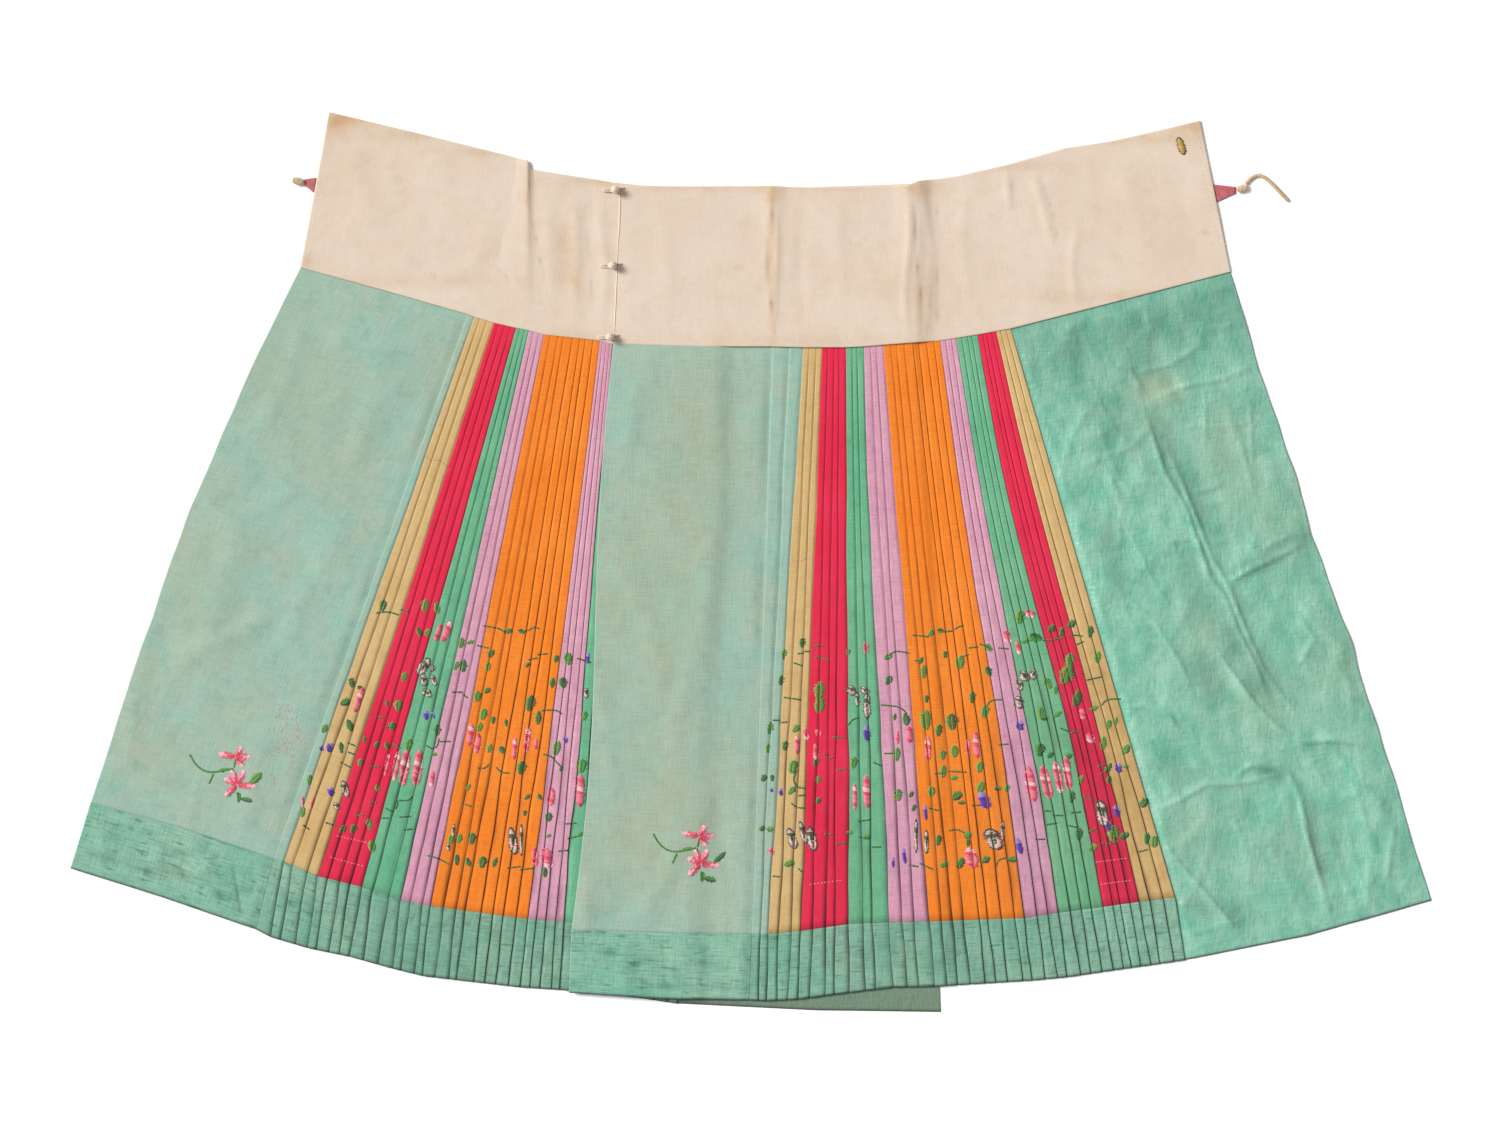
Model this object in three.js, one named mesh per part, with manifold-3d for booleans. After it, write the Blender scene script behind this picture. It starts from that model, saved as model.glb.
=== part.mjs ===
// A horse-face skirt of silk and cotton, laid open and flat with its inside up.
// It is two lapped halves. Each half has two flat panels with a pleated section of sewn
// colour strips between them, a hem band, and a deep cotton waistband. The left half lies
// on the surface. The right half starts on top of it, is buttoned to it at the waistband,
// and runs on down to the surface at the right.
// Millimetres, +Z up, +Y from hem to waist. The origin is under the middle of the garment.
import * as THREE from "three";
import { mergeVertices } from "three/addons/utils/BufferGeometryUtils.js";
import Module from "manifold-3d";

// Cloth sizes
const WALL = 1.0; // silk with its facing
const GAP = 0.3; // between layers, and half of it on each side of a seam
const WAIST_WALL = 2.0; // doubled cotton
const PLEAT_TOP = 3 * WALL + 2 * GAP; // a knife pleat is three layers
const FOLD_SHARE = 0.55; // how much of a pleat's width is folded under it
const MEETING_SHARE = 0.4; // the same where two pleats' folds meet under one layer
const PLEAT_UNEVEN = 0.12; // of a pleat's width, by hand folding

// The right half lies on the pleats, then on the covered panel, then on the surface.
const ON_PLEATS = PLEAT_TOP + GAP;
const ON_PANEL = WALL + GAP;
const ON_WAISTBAND = WAIST_WALL + GAP;

// Heights down a half: 0 is the waist seam, 1 the seam of the hem band, 2 the hem edge.
const WAIST_SEAM = 0;
const BAND_SEAM = 1;
const HEM_EDGE = 2;

const COLOURS = {
  cotton: { color: "#e2d2bf", roughness: 0.95 },
  pale: { color: "#a2c6b2", roughness: 0.8 },
  tan: { color: "#d3b577", roughness: 0.8 },
  red: { color: "#dd2a4c", roughness: 0.75 },
  green: { color: "#5fb585", roughness: 0.75 },
  lilac: { color: "#cd92bd", roughness: 0.75 },
  orange: { color: "#f78a22", roughness: 0.75 },
  satin: { color: "#7cc6a7", roughness: 0.5 },
  band: { color: "#79c0a0", roughness: 0.7 },
  tab: { color: "#d2586a", roughness: 0.85 },
};

// One row for each seam line of a half, from left to right: where it meets the waist seam,
// the hem band's seam and the hem edge, and the cloth and pleats from it to the next line.
// bow and wave move the line sideways between the waist and the band.
const LEFT_HALF = {
  name: "left",
  seams: [
    { line: "outer edge", waist: [-530, 346], band: [-777, -285], hem: [-800, -360], bow: -17, wave: -2 },
    { line: "panel middle", waist: [-427, 318], band: [-668, -315], hem: [-692, -394], bow: -7 },
    { line: "panel pleat", cloth: "pale", pleats: 1, waist: [-333, 291], band: [-562, -351], hem: [-582, -432] },
    { line: "tan_1", cloth: "tan", pleats: 3, waist: [-325, 288], band: [-550, -354], hem: [-565, -441] },
    { line: "red_1", cloth: "red", pleats: 4, waist: [-302, 281], band: [-509, -372], hem: [-521, -454] },
    { line: "green_1", cloth: "green", pleats: 3, waist: [-276, 275], band: [-459, -384], hem: [-472, -464] },
    { line: "lilac_1", cloth: "lilac", pleats: 3, waist: [-261, 272], band: [-412, -400], hem: [-422, -478] },
    { line: "orange", cloth: "orange", pleats: 8, waist: [-243, 267], band: [-376, -407], hem: [-385, -487] },
    { line: "lilac_2", cloth: "lilac", pleats: 4, waist: [-178, 260], band: [-263, -422], hem: [-272, -500] },
    { line: "green_2", cloth: "green", pleats: 3, waist: [-163, 256.03], band: [-221, -425], hem: [-225, -503] },
    { line: "red_2", cloth: "red", pleats: 3, waist: [-129, 255.03], band: [-173, -432], hem: [-174, -508] },
    { line: "tan_2", cloth: "tan", pleats: 3, waist: [-107, 254.38], band: [-129, -436], hem: [-129, -513] },
    { line: "covered panel", cloth: "satin", waist: [-88, 253.82], band: [-88, -441], hem: [-87, -519] },
    { line: "covered middle", waist: [46, 257], band: [72, -449], hem: [75, -527] },
    { line: "covered edge", waist: [184, 259], band: [220, -452], hem: [223, -529] },
  ],
};
const RIGHT_HALF = {
  name: "right",
  seams: [
    { line: "outer edge", waist: [-162, 256], band: [-211, -434], hem: [-214, -506], bow: 3, wave: -5 },
    { line: "panel middle", waist: [-60, 253], band: [-107, -438], hem: [-105, -513] },
    { line: "panel pleat", cloth: "pale", pleats: 2, waist: [25, 253], band: [1, -440], hem: [-2, -515] },
    { line: "tan_1", cloth: "tan", pleats: 3, waist: [62, 252], band: [20, -440], hem: [19, -516] },
    { line: "red_1", cloth: "red", pleats: 4, waist: [84, 252], band: [59, -436], hem: [55, -514] },
    { line: "green_1", cloth: "green", pleats: 3, waist: [112, 252], band: [115, -428], hem: [116, -506] },
    { line: "lilac_1", cloth: "lilac", pleats: 3, waist: [133, 253], band: [161, -426], hem: [167, -500], wave: -2 },
    { line: "orange", cloth: "orange", pleats: 8, waist: [156, 255], band: [210, -425], hem: [216, -499] },
    { line: "lilac_2", cloth: "lilac", pleats: 3, waist: [222, 260], band: [322, -421], hem: [331, -492], wave: -2 },
    { line: "green_2", cloth: "green", pleats: 4, waist: [241, 263], band: [361, -415], hem: [372, -488], wave: -3 },
    { line: "red_2", cloth: "red", pleats: 4, waist: [266, 267], band: [414, -408], hem: [426, -480], wave: -5 },
    { line: "tan_2", cloth: "tan", pleats: 3, waist: [288, 271], band: [456, -402], hem: [469, -474], wave: -3 },
    { line: "end panel", cloth: "satin", waist: [305, 274], band: [499, -397], hem: [510, -468] },
    { line: "end middle", waist: [434, 307], band: [634, -369], hem: [655, -439] },
    { line: "end edge", waist: [564, 341], band: [777, -328], hem: [800, -398], wave: -3 },
  ],
};

// Each waistband's top edge, above points of the half's waist seam. A point is a share of the
// way on from a seam line. base and lift are heights under it, the tuck's at the top only.
const LEFT_WAISTBAND = [
  { line: "outer edge", top: [-496, 529] },
  { line: "panel middle", top: [-391, 504] },
  { line: "panel pleat", top: [-296, 480.5] },
  { line: "tan_1", top: [-288, 478.5] },
  { line: "red_1", top: [-275, 475] },
  { line: "green_1", top: [-268, 473], lift: 1.2 },
  { line: "lilac_1", top: [-262, 472], lift: 2.4 },
  { line: "lilac_1", share: 0.3, top: [-259, 462] },
  { line: "orange", top: [-244, 459.5] },
  { line: "lilac_2", top: [-178, 449] },
  { line: "green_2", top: [-160, 446] },
  { line: "red_2", top: [-129, 443] },
  { line: "tan_2", top: [-107, 442] },
  { line: "covered panel", top: [-88, 441] },
  { line: "covered middle", top: [50, 440] },
  { line: "covered edge", top: [192, 445] },
];
const RIGHT_WAISTBAND = [
  { line: "outer edge", top: [-154, 442], base: ON_WAISTBAND },
  { line: "panel middle", top: [-60, 441.5], base: ON_WAISTBAND },
  { line: "panel middle", share: 0.85, top: [12, 442], base: ON_WAISTBAND },
  { line: "panel pleat", top: [28, 442], base: ON_WAISTBAND, lift: 1.6 },
  { line: "panel pleat", share: 0.4, top: [42, 441], base: ON_WAISTBAND },
  { line: "tan_1", top: [62, 440.5], base: ON_WAISTBAND },
  { line: "red_1", top: [84, 440], base: ON_WAISTBAND },
  { line: "green_1", top: [112, 440], base: ON_WAISTBAND },
  { line: "lilac_1", top: [135, 441], base: ON_WAISTBAND },
  { line: "orange", top: [168, 441.5], base: ON_WAISTBAND },
  { line: "orange", share: 0.35, top: [184, 443], base: ON_WAISTBAND, lift: 1.6 },
  { line: "orange", share: 0.6, top: [197, 448], base: ON_WAISTBAND, lift: 1.6 },
  { line: "orange", share: 0.85, top: [212, 450] },
  { line: "lilac_2", top: [222, 451] },
  { line: "green_2", top: [243, 454] },
  { line: "red_2", top: [269, 460] },
  { line: "tan_2", top: [290, 464.5] },
  { line: "end panel", top: [306, 468.5] },
  { line: "end panel", share: 0.5, top: [368, 486.5] },
  { line: "end middle", top: [425, 495] },
  { line: "end edge", top: [528, 519] },
];

// Where the right half comes down, as shares of the way between two of its seam lines.
// waist and hem are where the drop begins at the two ends of those lines.
const DROPS = [
  { line: "outer edge", next: "panel pleat", waist: 0.62, hem: 0.62, wide: 0.16, fall: ON_PLEATS - ON_PANEL },
  { line: "orange", next: "lilac_2", waist: 4 / 8, hem: 1 / 8, wide: 1 / 8, fall: ON_PANEL },
];

// The largest soft folds in the flat panels. Each is a ridge between two points.
const SATIN_FOLDS = [
  { from: [450, 220], to: [515, 70], width: 13, height: 4 },
  { from: [515, 70], to: [562, -30], width: 13, height: 4.5 },
  { from: [562, -30], to: [662, 22], width: 16, height: 3.5 },
  { from: [562, -30], to: [612, -180], width: 14, height: 4 },
  { from: [612, -180], to: [655, -212], width: 14, height: 4 },
  { from: [655, -212], to: [735, -211], width: 14, height: 3 },
  { from: [505, -8], to: [570, -160], width: 12, height: 2.5 },
  { from: [634, -250], to: [678, -386], width: 14, height: 3.5 },
  { from: [450, -176], to: [534, -216], width: 12, height: 2.5 },
  { from: [500, -342], to: [556, -407], width: 12, height: 2.5 },
  { from: [402, 246], to: [580, 250], width: 14, height: 2.5 },
  { from: [575, -238], to: [640, -250], width: 12, height: 2.5 },
];
const PALE_FOLDS = [
  { from: [-682, -330], to: [-672, -400], width: 16, height: 2.2 },
  { from: [-500, 270], to: [-410, 235], width: 18, height: 2 },
  { from: [-690, -120], to: [-560, -60], width: 16, height: 1.8 },
  { from: [-600, 60], to: [-640, -150], width: 22, height: 1.5 },
];
const CENTRE_FOLDS = [
  { from: [-30, 235], to: [-45, -120], width: 14, height: 1.4 },
  { from: [-190, -350], to: [-205, -500], width: 14, height: 1.6 },
];
const FOLD_END = 0.25; // of a fold's length, over which it dies away at each end

// Knot buttons down the lap, and the loops that hold them
const BUTTONS = [
  { name: "top", x: -155, y: 437 },
  { name: "middle", x: -158, y: 348 },
  { name: "low", x: -161, y: 264 },
];
const BALL_RADIUS = 5;
const BALL_HALF_HEIGHT = 4;
const NECK_RADIUS = 1.4;
const LOOP_CORD = 1.1; // radius
const LOOP_BEND = 3.1; // radius of the loop's middle line round the neck
const STEM = { length: 15, width: 5.5, thick: 1.8 };

// Ties at the two ends of the waistband
const KNOT = { long: 8, wide: 5, half_height: 2.4 };
const LEFT_TAB = [[-510.65, 452], [-514, 434], [-525.2, 443], [-525.2, 450]];
const RIGHT_TAB = [[543.5, 444], [547.75, 423], [570.2, 433], [570.2, 441]];
const LEFT_KNOT = { x: -532.5, y: 447.5, turn: -0.25 };
const RIGHT_KNOT = { x: 577.5, y: 439, turn: 0.25 };
const TAPE_RADIUS = 2.2;
const TAPE_ROUTE = [
  [582.4, 445.2], [584.8, 448.0], [587.6, 450.8], [590.8, 453.2], [594.4, 454.6], [598.2, 454.6],
  [602.0, 453.0], [605.6, 450.6], [609.0, 447.8], [612.2, 444.8], [615.4, 441.6], [618.4, 438.4],
  [621.6, 435.0], [624.8, 431.6], [628.2, 428.0], [630.6, 425.4],
];

const wasm = await Module();
wasm.setup();

function between(a, b, share) {
  return [a[0] + (b[0] - a[0]) * share, a[1] + (b[1] - a[1]) * share];
}

// A ridge's height at a point: a soft hump across, dying away at both ends.
function foldHeight(fold, x, y) {
  const [dx, dy] = [fold.to[0] - fold.from[0], fold.to[1] - fold.from[1]];
  const length2 = dx * dx + dy * dy;
  const along = ((x - fold.from[0]) * dx + (y - fold.from[1]) * dy) / length2;
  const near = Math.min(1, Math.max(0, along));
  const away = Math.hypot(x - fold.from[0] - near * dx, y - fold.from[1] - near * dy) / fold.width;
  const fade = Math.min(1, (Math.min(near, 1 - near) + 0.05) / FOLD_END);
  return fold.height * fade * Math.exp(-away * away);
}

// The highest of a list of folds at a point.
function foldsHeight(folds, x, y) {
  return folds.reduce((most, fold) => Math.max(most, foldHeight(fold, x, y)), 0);
}

// The point of a seam line at a height down the half.
function seamPoint(seam, height) {
  if (height > BAND_SEAM) return between(seam.band, seam.hem, height - BAND_SEAM);
  const [x, y] = between(seam.waist, seam.band, height);
  const sway = (seam.bow ?? 0) * Math.sin(Math.PI * height);
  return [x + sway + (seam.wave ?? 0) * Math.sin(2 * Math.PI * height), y];
}

// A row across a half: the seam lines' points at one height, measured by length from the
// left. shift moves the row up or down a little, to leave the gap at a seam.
class Row {
  constructor(half, height, shift = 0) {
    this.half = half;
    this.height = height;
    this.shift = shift;
    this.points = half.seams.map((seam) => seamPoint(seam, height));
    this.at = [0];
    for (let i = 1; i < this.points.length; i++) {
      const [a, b] = [this.points[i - 1], this.points[i]];
      this.at.push(this.at[i - 1] + Math.hypot(b[0] - a[0], b[1] - a[1]));
    }
  }

  atLine(name) {
    return this.at[this.half.seams.findIndex((seam) => seam.line === name)];
  }

  point(s) {
    let i = 1;
    while (i < this.at.length - 1 && s > this.at[i]) i++;
    const share = (s - this.at[i - 1]) / (this.at[i] - this.at[i - 1]);
    const [x, y] = between(this.points[i - 1], this.points[i], share);
    return [x, y + this.shift];
  }

  // The fold edges of all pleats, with the way that each faces and how deep it is folded.
  edges() {
    const found = [];
    this.half.seams.forEach((seam, i) => {
      for (let k = 0; k < (seam.pleats ?? 0); k++) {
        const uneven = k ? PLEAT_UNEVEN * Math.sin(2.1 * found.length) : 0;
        const share = (k + uneven) / seam.pleats;
        const middle = seam.line === "orange" && k >= seam.pleats / 2;
        const turned = found.length && found[found.length - 1].faces > 0;
        found.push({
          line: k ? "" : seam.line,
          s: this.at[i] + (this.at[i + 1] - this.at[i]) * share,
          faces: middle || turned ? 1 : -1,
        });
      }
    });
    const last = this.half.seams.findIndex((seam) => seam.cloth === "satin");
    found.push({ line: this.half.seams[last].line, s: this.at[last], faces: 1 });
    found.forEach((edge, i) => {
      const next = found[i - edge.faces];
      const share = next.faces === edge.faces ? FOLD_SHARE : MEETING_SHARE;
      edge.deep = share * Math.abs(next.s - edge.s);
    });
    return found;
  }
}

// How high the right half lies at a place across a row.
function baseOf(row, s) {
  if (row.half !== RIGHT_HALF) return 0;
  let base = ON_PLEATS;
  for (const { line, next, waist, hem, wide, fall } of DROPS) {
    const start = row.atLine(line);
    const share = (s - start) / (row.atLine(next) - start);
    const begins = waist + (hem - waist) * Math.min(1, row.height);
    base -= fall * Math.min(1, Math.max(0, (share - begins) / wide));
  }
  return base;
}

// A cloth section is a list of ribs across the wall, each with a point on the upper side
// and one on the lower side, as [place across, height].
const LOW = [WALL, 0];
const MID = [WALL + GAP, 2 * WALL + GAP];
const SLIT_UNDER = WALL + GAP / 2; // where two layers meet inside a fold
const SLIT_OVER = 2 * WALL + 1.5 * GAP;
const HIGH_UNDER = 2 * WALL + 2 * GAP;

// One knife pleat's ribs. part says whether the cloth goes on past it, starts or ends there.
function pleatRibs(edge, part) {
  const { s, deep, faces } = edge;
  const back = s - faces * deep; // where the fold under it turns
  const slit = s - faces * WALL;
  const turn = back + faces * WALL;
  const top = [
    { up: [back, PLEAT_TOP], low: [back, HIGH_UNDER] },
    { up: [s, PLEAT_TOP], low: [slit, SLIT_OVER] },
    { up: [s, MID[0]], low: [slit, SLIT_OVER] },
  ];
  const whole = [
    ...top,
    { up: [turn, SLIT_UNDER], low: [back, MID[1]] },
    { up: [turn, SLIT_UNDER], low: [back, 0] },
    { up: [s, WALL], low: [s, 0] },
  ];
  const upper = [...top, { up: [back, MID[0]], low: [back, MID[1]] }];
  const lower = [
    { up: [back, WALL], low: [back, 0] },
    { up: [s, WALL], low: [s, 0] },
  ];
  if (part === "whole") return faces > 0 ? whole : whole.reverse();
  const starts = part === "start";
  if (faces > 0) return starts ? lower : upper;
  return starts ? upper.reverse() : lower.reverse();
}

// Ribs of a flat wall at places across.
function flatRibs(places, wall = WALL) {
  return places.map((s) => ({ up: [s, wall], low: [s, 0] }));
}

// A closed solid through rows of ribs. Each row has the same number of ribs, and place
// turns a rib's point in a row into a point in space.
function loft(rows, place) {
  const position = [];
  const rings = rows.map((ribs, k) => {
    const ring = { up: [], low: [], across: [] };
    for (const side of ["up", "low"]) {
      ribs.forEach((rib, i) => {
        const same = i && rib[side][0] === ribs[i - 1][side][0] && rib[side][1] === ribs[i - 1][side][1];
        if (!same) {
          position.push(...place(k, rib[side], side));
          ring.across.push(rib[side][0]);
        }
        ring[side].push(position.length / 3 - 1);
      });
    }
    ring.first = ring.up[0];
    ring.loop = [...new Set(ring.up), ...[...new Set(ring.low)].reverse()];
    return ring;
  });
  const faces = [];
  for (let k = 1; k < rings.length; k++) {
    const [a, b] = [rings[k - 1], rings[k]];
    a.loop.forEach((p, i) => {
      const next = (i + 1) % a.loop.length;
      const [q, r, t] = [a.loop[next], b.loop[i], b.loop[next]];
      // Layers that lie on each other split along the same diagonal, so they never cross.
      const ahead = a.across[q - a.first] >= a.across[p - a.first];
      faces.push(...(ahead ? [p, r, t, p, t, q] : [p, r, q, q, r, t]));
    });
  }
  for (const [ring, turn] of [[rings[0], false], [rings[rings.length - 1], true]]) {
    for (let i = 1; i < ring.up.length; i++) {
      const [a, b, c, d] = [ring.up[i - 1], ring.up[i], ring.low[i - 1], ring.low[i]];
      if (b !== a) faces.push(...(turn ? [a, c, b] : [a, b, c]));
      if (d !== c) faces.push(...(turn ? [b, c, d] : [b, d, c]));
    }
  }
  return new THREE.BufferGeometry()
    .setAttribute("position", new THREE.Float32BufferAttribute(position, 3))
    .setIndex(faces);
}

function mesh(name, geometry, colour) {
  const made = new THREE.Mesh(geometry, new THREE.MeshStandardMaterial(COLOURS[colour]));
  made.name = name;
  return made;
}

// A piece of a half between two heights. section gives a row's ribs.
function piece(half, name, colour, heights, section, folds = []) {
  const last = heights.length - 1;
  const rows = heights.map((height, k) => {
    // The hem edge is free, and every other end of a piece is sewn to something.
    const shift = k === 0 ? -GAP / 2 : k === last && height < HEM_EDGE ? GAP / 2 : 0;
    return new Row(half, height, shift);
  });
  const place = (k, [s, z]) => {
    const [x, y] = rows[k].point(s);
    return [x, y, z + baseOf(rows[k], s) + foldsHeight(folds, x, y)];
  };
  return mesh(`${half.name}_${name}`, loft(rows.map(section), place), colour);
}

function steps(from, to, count) {
  return Array.from({ length: count + 1 }, (_, i) => from + ((to - from) * i) / count);
}

const STRIP_HEIGHTS = steps(WAIST_SEAM, BAND_SEAM, 4);
const PANEL_HEIGHTS = steps(WAIST_SEAM, BAND_SEAM, 12);
const BAND_HEIGHTS = [BAND_SEAM, HEM_EDGE];
const LINED_HEIGHTS = [...steps(WAIST_SEAM, BAND_SEAM, 20), 1.5, HEM_EDGE];
const COVERED_HEIGHTS = [...steps(WAIST_SEAM, BAND_SEAM, 4), HEM_EDGE];

// The colour strips: each is one sewn strip with its own pleats.
function strips(half) {
  return half.seams
    .filter((seam) => seam.pleats && seam.line !== "panel pleat")
    .map((seam) =>
      piece(half, seam.line, seam.cloth, STRIP_HEIGHTS, (row) => {
        const edges = row.edges();
        const first = edges.findIndex((edge) => edge.line === seam.line);
        const last = first + seam.pleats;
        return edges.slice(first, last + 1).flatMap((edge, i) => {
          const part = i === 0 ? "start" : i === seam.pleats ? "end" : "whole";
          return pleatRibs(edge, part);
        });
      }),
    );
}

// The pale panel at a half's left, with the pleats that are folded in its own cloth.
function palePanel(half, name, places, folds) {
  return piece(half, name, "pale", PANEL_HEIGHTS, (row) => {
    const edges = row.edges();
    const own = edges.findIndex((edge) => edge.line === "tan_1");
    const flat = places.map((share) => share * edges[0].s);
    const pleats = edges
      .slice(0, own + 1)
      .flatMap((edge, i) => pleatRibs(edge, i === own ? "end" : "whole"));
    return [...flatRibs(flat), ...pleats];
  }, folds);
}

// The hem band of that panel, which runs flat to under the first pleat.
function panelBand(half, name, places, folds) {
  return piece(half, name, "band", BAND_HEIGHTS, (row) => {
    const first = row.edges()[0];
    return [...flatRibs(places.map((share) => share * first.s)), ...pleatRibs(first, "end")];
  }, folds);
}

// The hem band of the whole pleated section, folded with it.
function pleatBand(half) {
  return piece(half, "pleat_band", "band", BAND_HEIGHTS, (row) => {
    const edges = row.edges();
    return edges.flatMap((edge, i) => {
      const part = i === 0 ? "start" : i === edges.length - 1 ? "end" : "whole";
      return pleatRibs(edge, part);
    });
  });
}

// The lined panel at a half's right, from under the last pleat to its free edge.
function linedPanel(half, name, heights, count, folds) {
  return piece(half, name, "satin", heights, (row) => {
    const edges = row.edges();
    const last = edges[edges.length - 1];
    const end = row.at[row.at.length - 1];
    const flat = steps(last.s, end, count).slice(1);
    return [...pleatRibs(last, "start"), ...flatRibs(flat)];
  }, folds);
}

const WAIST_ROWS = steps(0, 1, 4);

// A half's waistband through its stations, sewn to the half's waist seam.
function waistband(half, stations) {
  const seam = new Row(half, WAIST_SEAM, GAP / 2);
  const sewn = stations.map(({ line, share = 0 }) => {
    const i = half.seams.findIndex((found) => found.line === line);
    return seam.point(seam.at[i] + share * ((seam.at[i + 1] ?? 0) - seam.at[i]));
  });
  const rows = WAIST_ROWS.map(() => flatRibs(stations.map((_, i) => i), WAIST_WALL));
  const place = (k, [i, z]) => {
    const { top, base = 0, lift = 0 } = stations[i];
    const down = WAIST_ROWS[k];
    return [...between(top, sewn[i], down), z + base + lift * (1 - down)];
  };
  return mesh(`${half.name}_waistband`, loft(rows, place), "cotton");
}

// three.js geometry to a solid for joining, and back.
function toSolid(geometry) {
  const bare = new THREE.BufferGeometry().setIndex(geometry.index);
  bare.setAttribute("position", geometry.getAttribute("position"));
  const merged = mergeVertices(bare, 1e-4);
  return new wasm.Manifold(new wasm.Mesh({
    numProp: 3,
    vertProperties: new Float32Array(merged.getAttribute("position").array),
    triVerts: new Uint32Array(merged.index.array),
  }));
}

function fromSolid(solid) {
  const made = solid.getMesh();
  return new THREE.BufferGeometry()
    .setAttribute("position", new THREE.BufferAttribute(made.vertProperties, 3))
    .setIndex(new THREE.BufferAttribute(made.triVerts, 1));
}

function roundShape(radius, sides) {
  return new THREE.Shape(steps(0, 1, sides).slice(0, sides).map((turn) => {
    const angle = 2 * Math.PI * turn;
    return new THREE.Vector2(radius * Math.cos(angle), radius * Math.sin(angle));
  }));
}

// A round cord along points.
function cord(points, radius, sides, count) {
  const path = new THREE.CatmullRomCurve3(points.map((p) => new THREE.Vector3(...p)));
  return new THREE.ExtrudeGeometry(roundShape(radius, sides), { extrudePath: path, steps: count });
}

function ball(radius, halfHeight) {
  return new THREE.SphereGeometry(1, 12, 8)
    .rotateX(Math.PI / 2)
    .scale(radius, radius, halfHeight);
}

// Heights of a fastened button: its stem lies on the left waistband, the loop on the right
// one, and the knotted ball on the loop.
const STEM_Z = WAIST_WALL + GAP;
const LOOP_Z = ON_WAISTBAND + WAIST_WALL + GAP + LOOP_CORD;
const BALL_Z = LOOP_Z + LOOP_CORD + GAP + BALL_HALF_HEIGHT;

function button({ name, x, y }) {
  const neck = x - LOOP_BEND - LOOP_CORD;
  const half = STEM.width / 2;
  const outline = new THREE.Shape();
  outline.absarc(neck - half * 0.3, 0, half, -Math.PI / 2, Math.PI / 2, false);
  outline.absarc(neck - STEM.length + half, 0, half, Math.PI / 2, (3 * Math.PI) / 2, false);
  const stem = new THREE.ExtrudeGeometry(outline, {
    depth: STEM.thick, bevelEnabled: false, curveSegments: 5,
  }).translate(0, y, STEM_Z);
  const rise = new THREE.CylinderGeometry(NECK_RADIUS, NECK_RADIUS, BALL_Z - STEM_Z - 1, 10)
    .rotateX(Math.PI / 2)
    .translate(neck, y, (BALL_Z + STEM_Z + 1) / 2);
  const knob = ball(BALL_RADIUS, BALL_HALF_HEIGHT).translate(neck, y, BALL_Z);
  const whole = [stem, rise, knob].map(toSolid).reduce((a, b) => a.add(b));
  return mesh(`button_${name}`, fromSolid(whole), "cotton");
}

function loop({ name, x, y }) {
  const neck = x - LOOP_BEND - LOOP_CORD;
  const end = x + LOOP_BEND + 2 * LOOP_CORD;
  const bend = steps(Math.PI / 2, (3 * Math.PI) / 2, 6).map((angle) => [
    neck + LOOP_BEND * Math.cos(angle), y + LOOP_BEND * Math.sin(angle), LOOP_Z,
  ]);
  const points = [[end, y + LOOP_BEND, LOOP_Z], ...bend, [end, y - LOOP_BEND, LOOP_Z]];
  return mesh(`loop_${name}`, cord(points, LOOP_CORD, 8, 14), "cotton");
}

function tab(name, corners) {
  const shape = new THREE.Shape(corners.map((c) => new THREE.Vector2(...c)));
  const geometry = new THREE.ExtrudeGeometry(shape, { depth: WALL, bevelEnabled: false });
  return mesh(name, geometry, "tab");
}

function knot(name, { x, y, turn }) {
  const made = mesh(name, ball(1, 1).scale(KNOT.long, KNOT.wide, KNOT.half_height), "cotton");
  made.position.set(x, y, KNOT.half_height);
  made.rotation.z = turn;
  return made;
}

const LEFT_PLACES = [0, 0.12, 0.25, 0.38, 0.5, 0.62, 0.75, 0.88];
const CENTRE_PLACES = [0, 0.15, 0.3, 0.46, 0.62, 0.78, 0.9];

const skirt = new THREE.Group();
skirt.add(
  palePanel(LEFT_HALF, "end_panel", LEFT_PLACES, PALE_FOLDS),
  panelBand(LEFT_HALF, "end_band", LEFT_PLACES, PALE_FOLDS),
  ...strips(LEFT_HALF),
  pleatBand(LEFT_HALF),
  linedPanel(LEFT_HALF, "covered_panel", COVERED_HEIGHTS, 4, []),
  waistband(LEFT_HALF, LEFT_WAISTBAND),
  palePanel(RIGHT_HALF, "centre_panel", CENTRE_PLACES, CENTRE_FOLDS),
  panelBand(RIGHT_HALF, "centre_band", CENTRE_PLACES, CENTRE_FOLDS),
  ...strips(RIGHT_HALF),
  pleatBand(RIGHT_HALF),
  linedPanel(RIGHT_HALF, "end_panel", LINED_HEIGHTS, 14, SATIN_FOLDS),
  waistband(RIGHT_HALF, RIGHT_WAISTBAND),
  ...BUTTONS.map(button),
  ...BUTTONS.map(loop),
  tab("left_tab", LEFT_TAB),
  tab("right_tab", RIGHT_TAB),
  knot("left_knot", LEFT_KNOT),
  knot("right_knot", RIGHT_KNOT),
  mesh("tie_tape", cord(TAPE_ROUTE.map((p) => [...p, TAPE_RADIUS]), TAPE_RADIUS, 8, 20), "cotton"),
);

export default skirt;
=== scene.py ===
"""The looks of a horse-face skirt that lies open and flat, its inside up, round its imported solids."""

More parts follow.
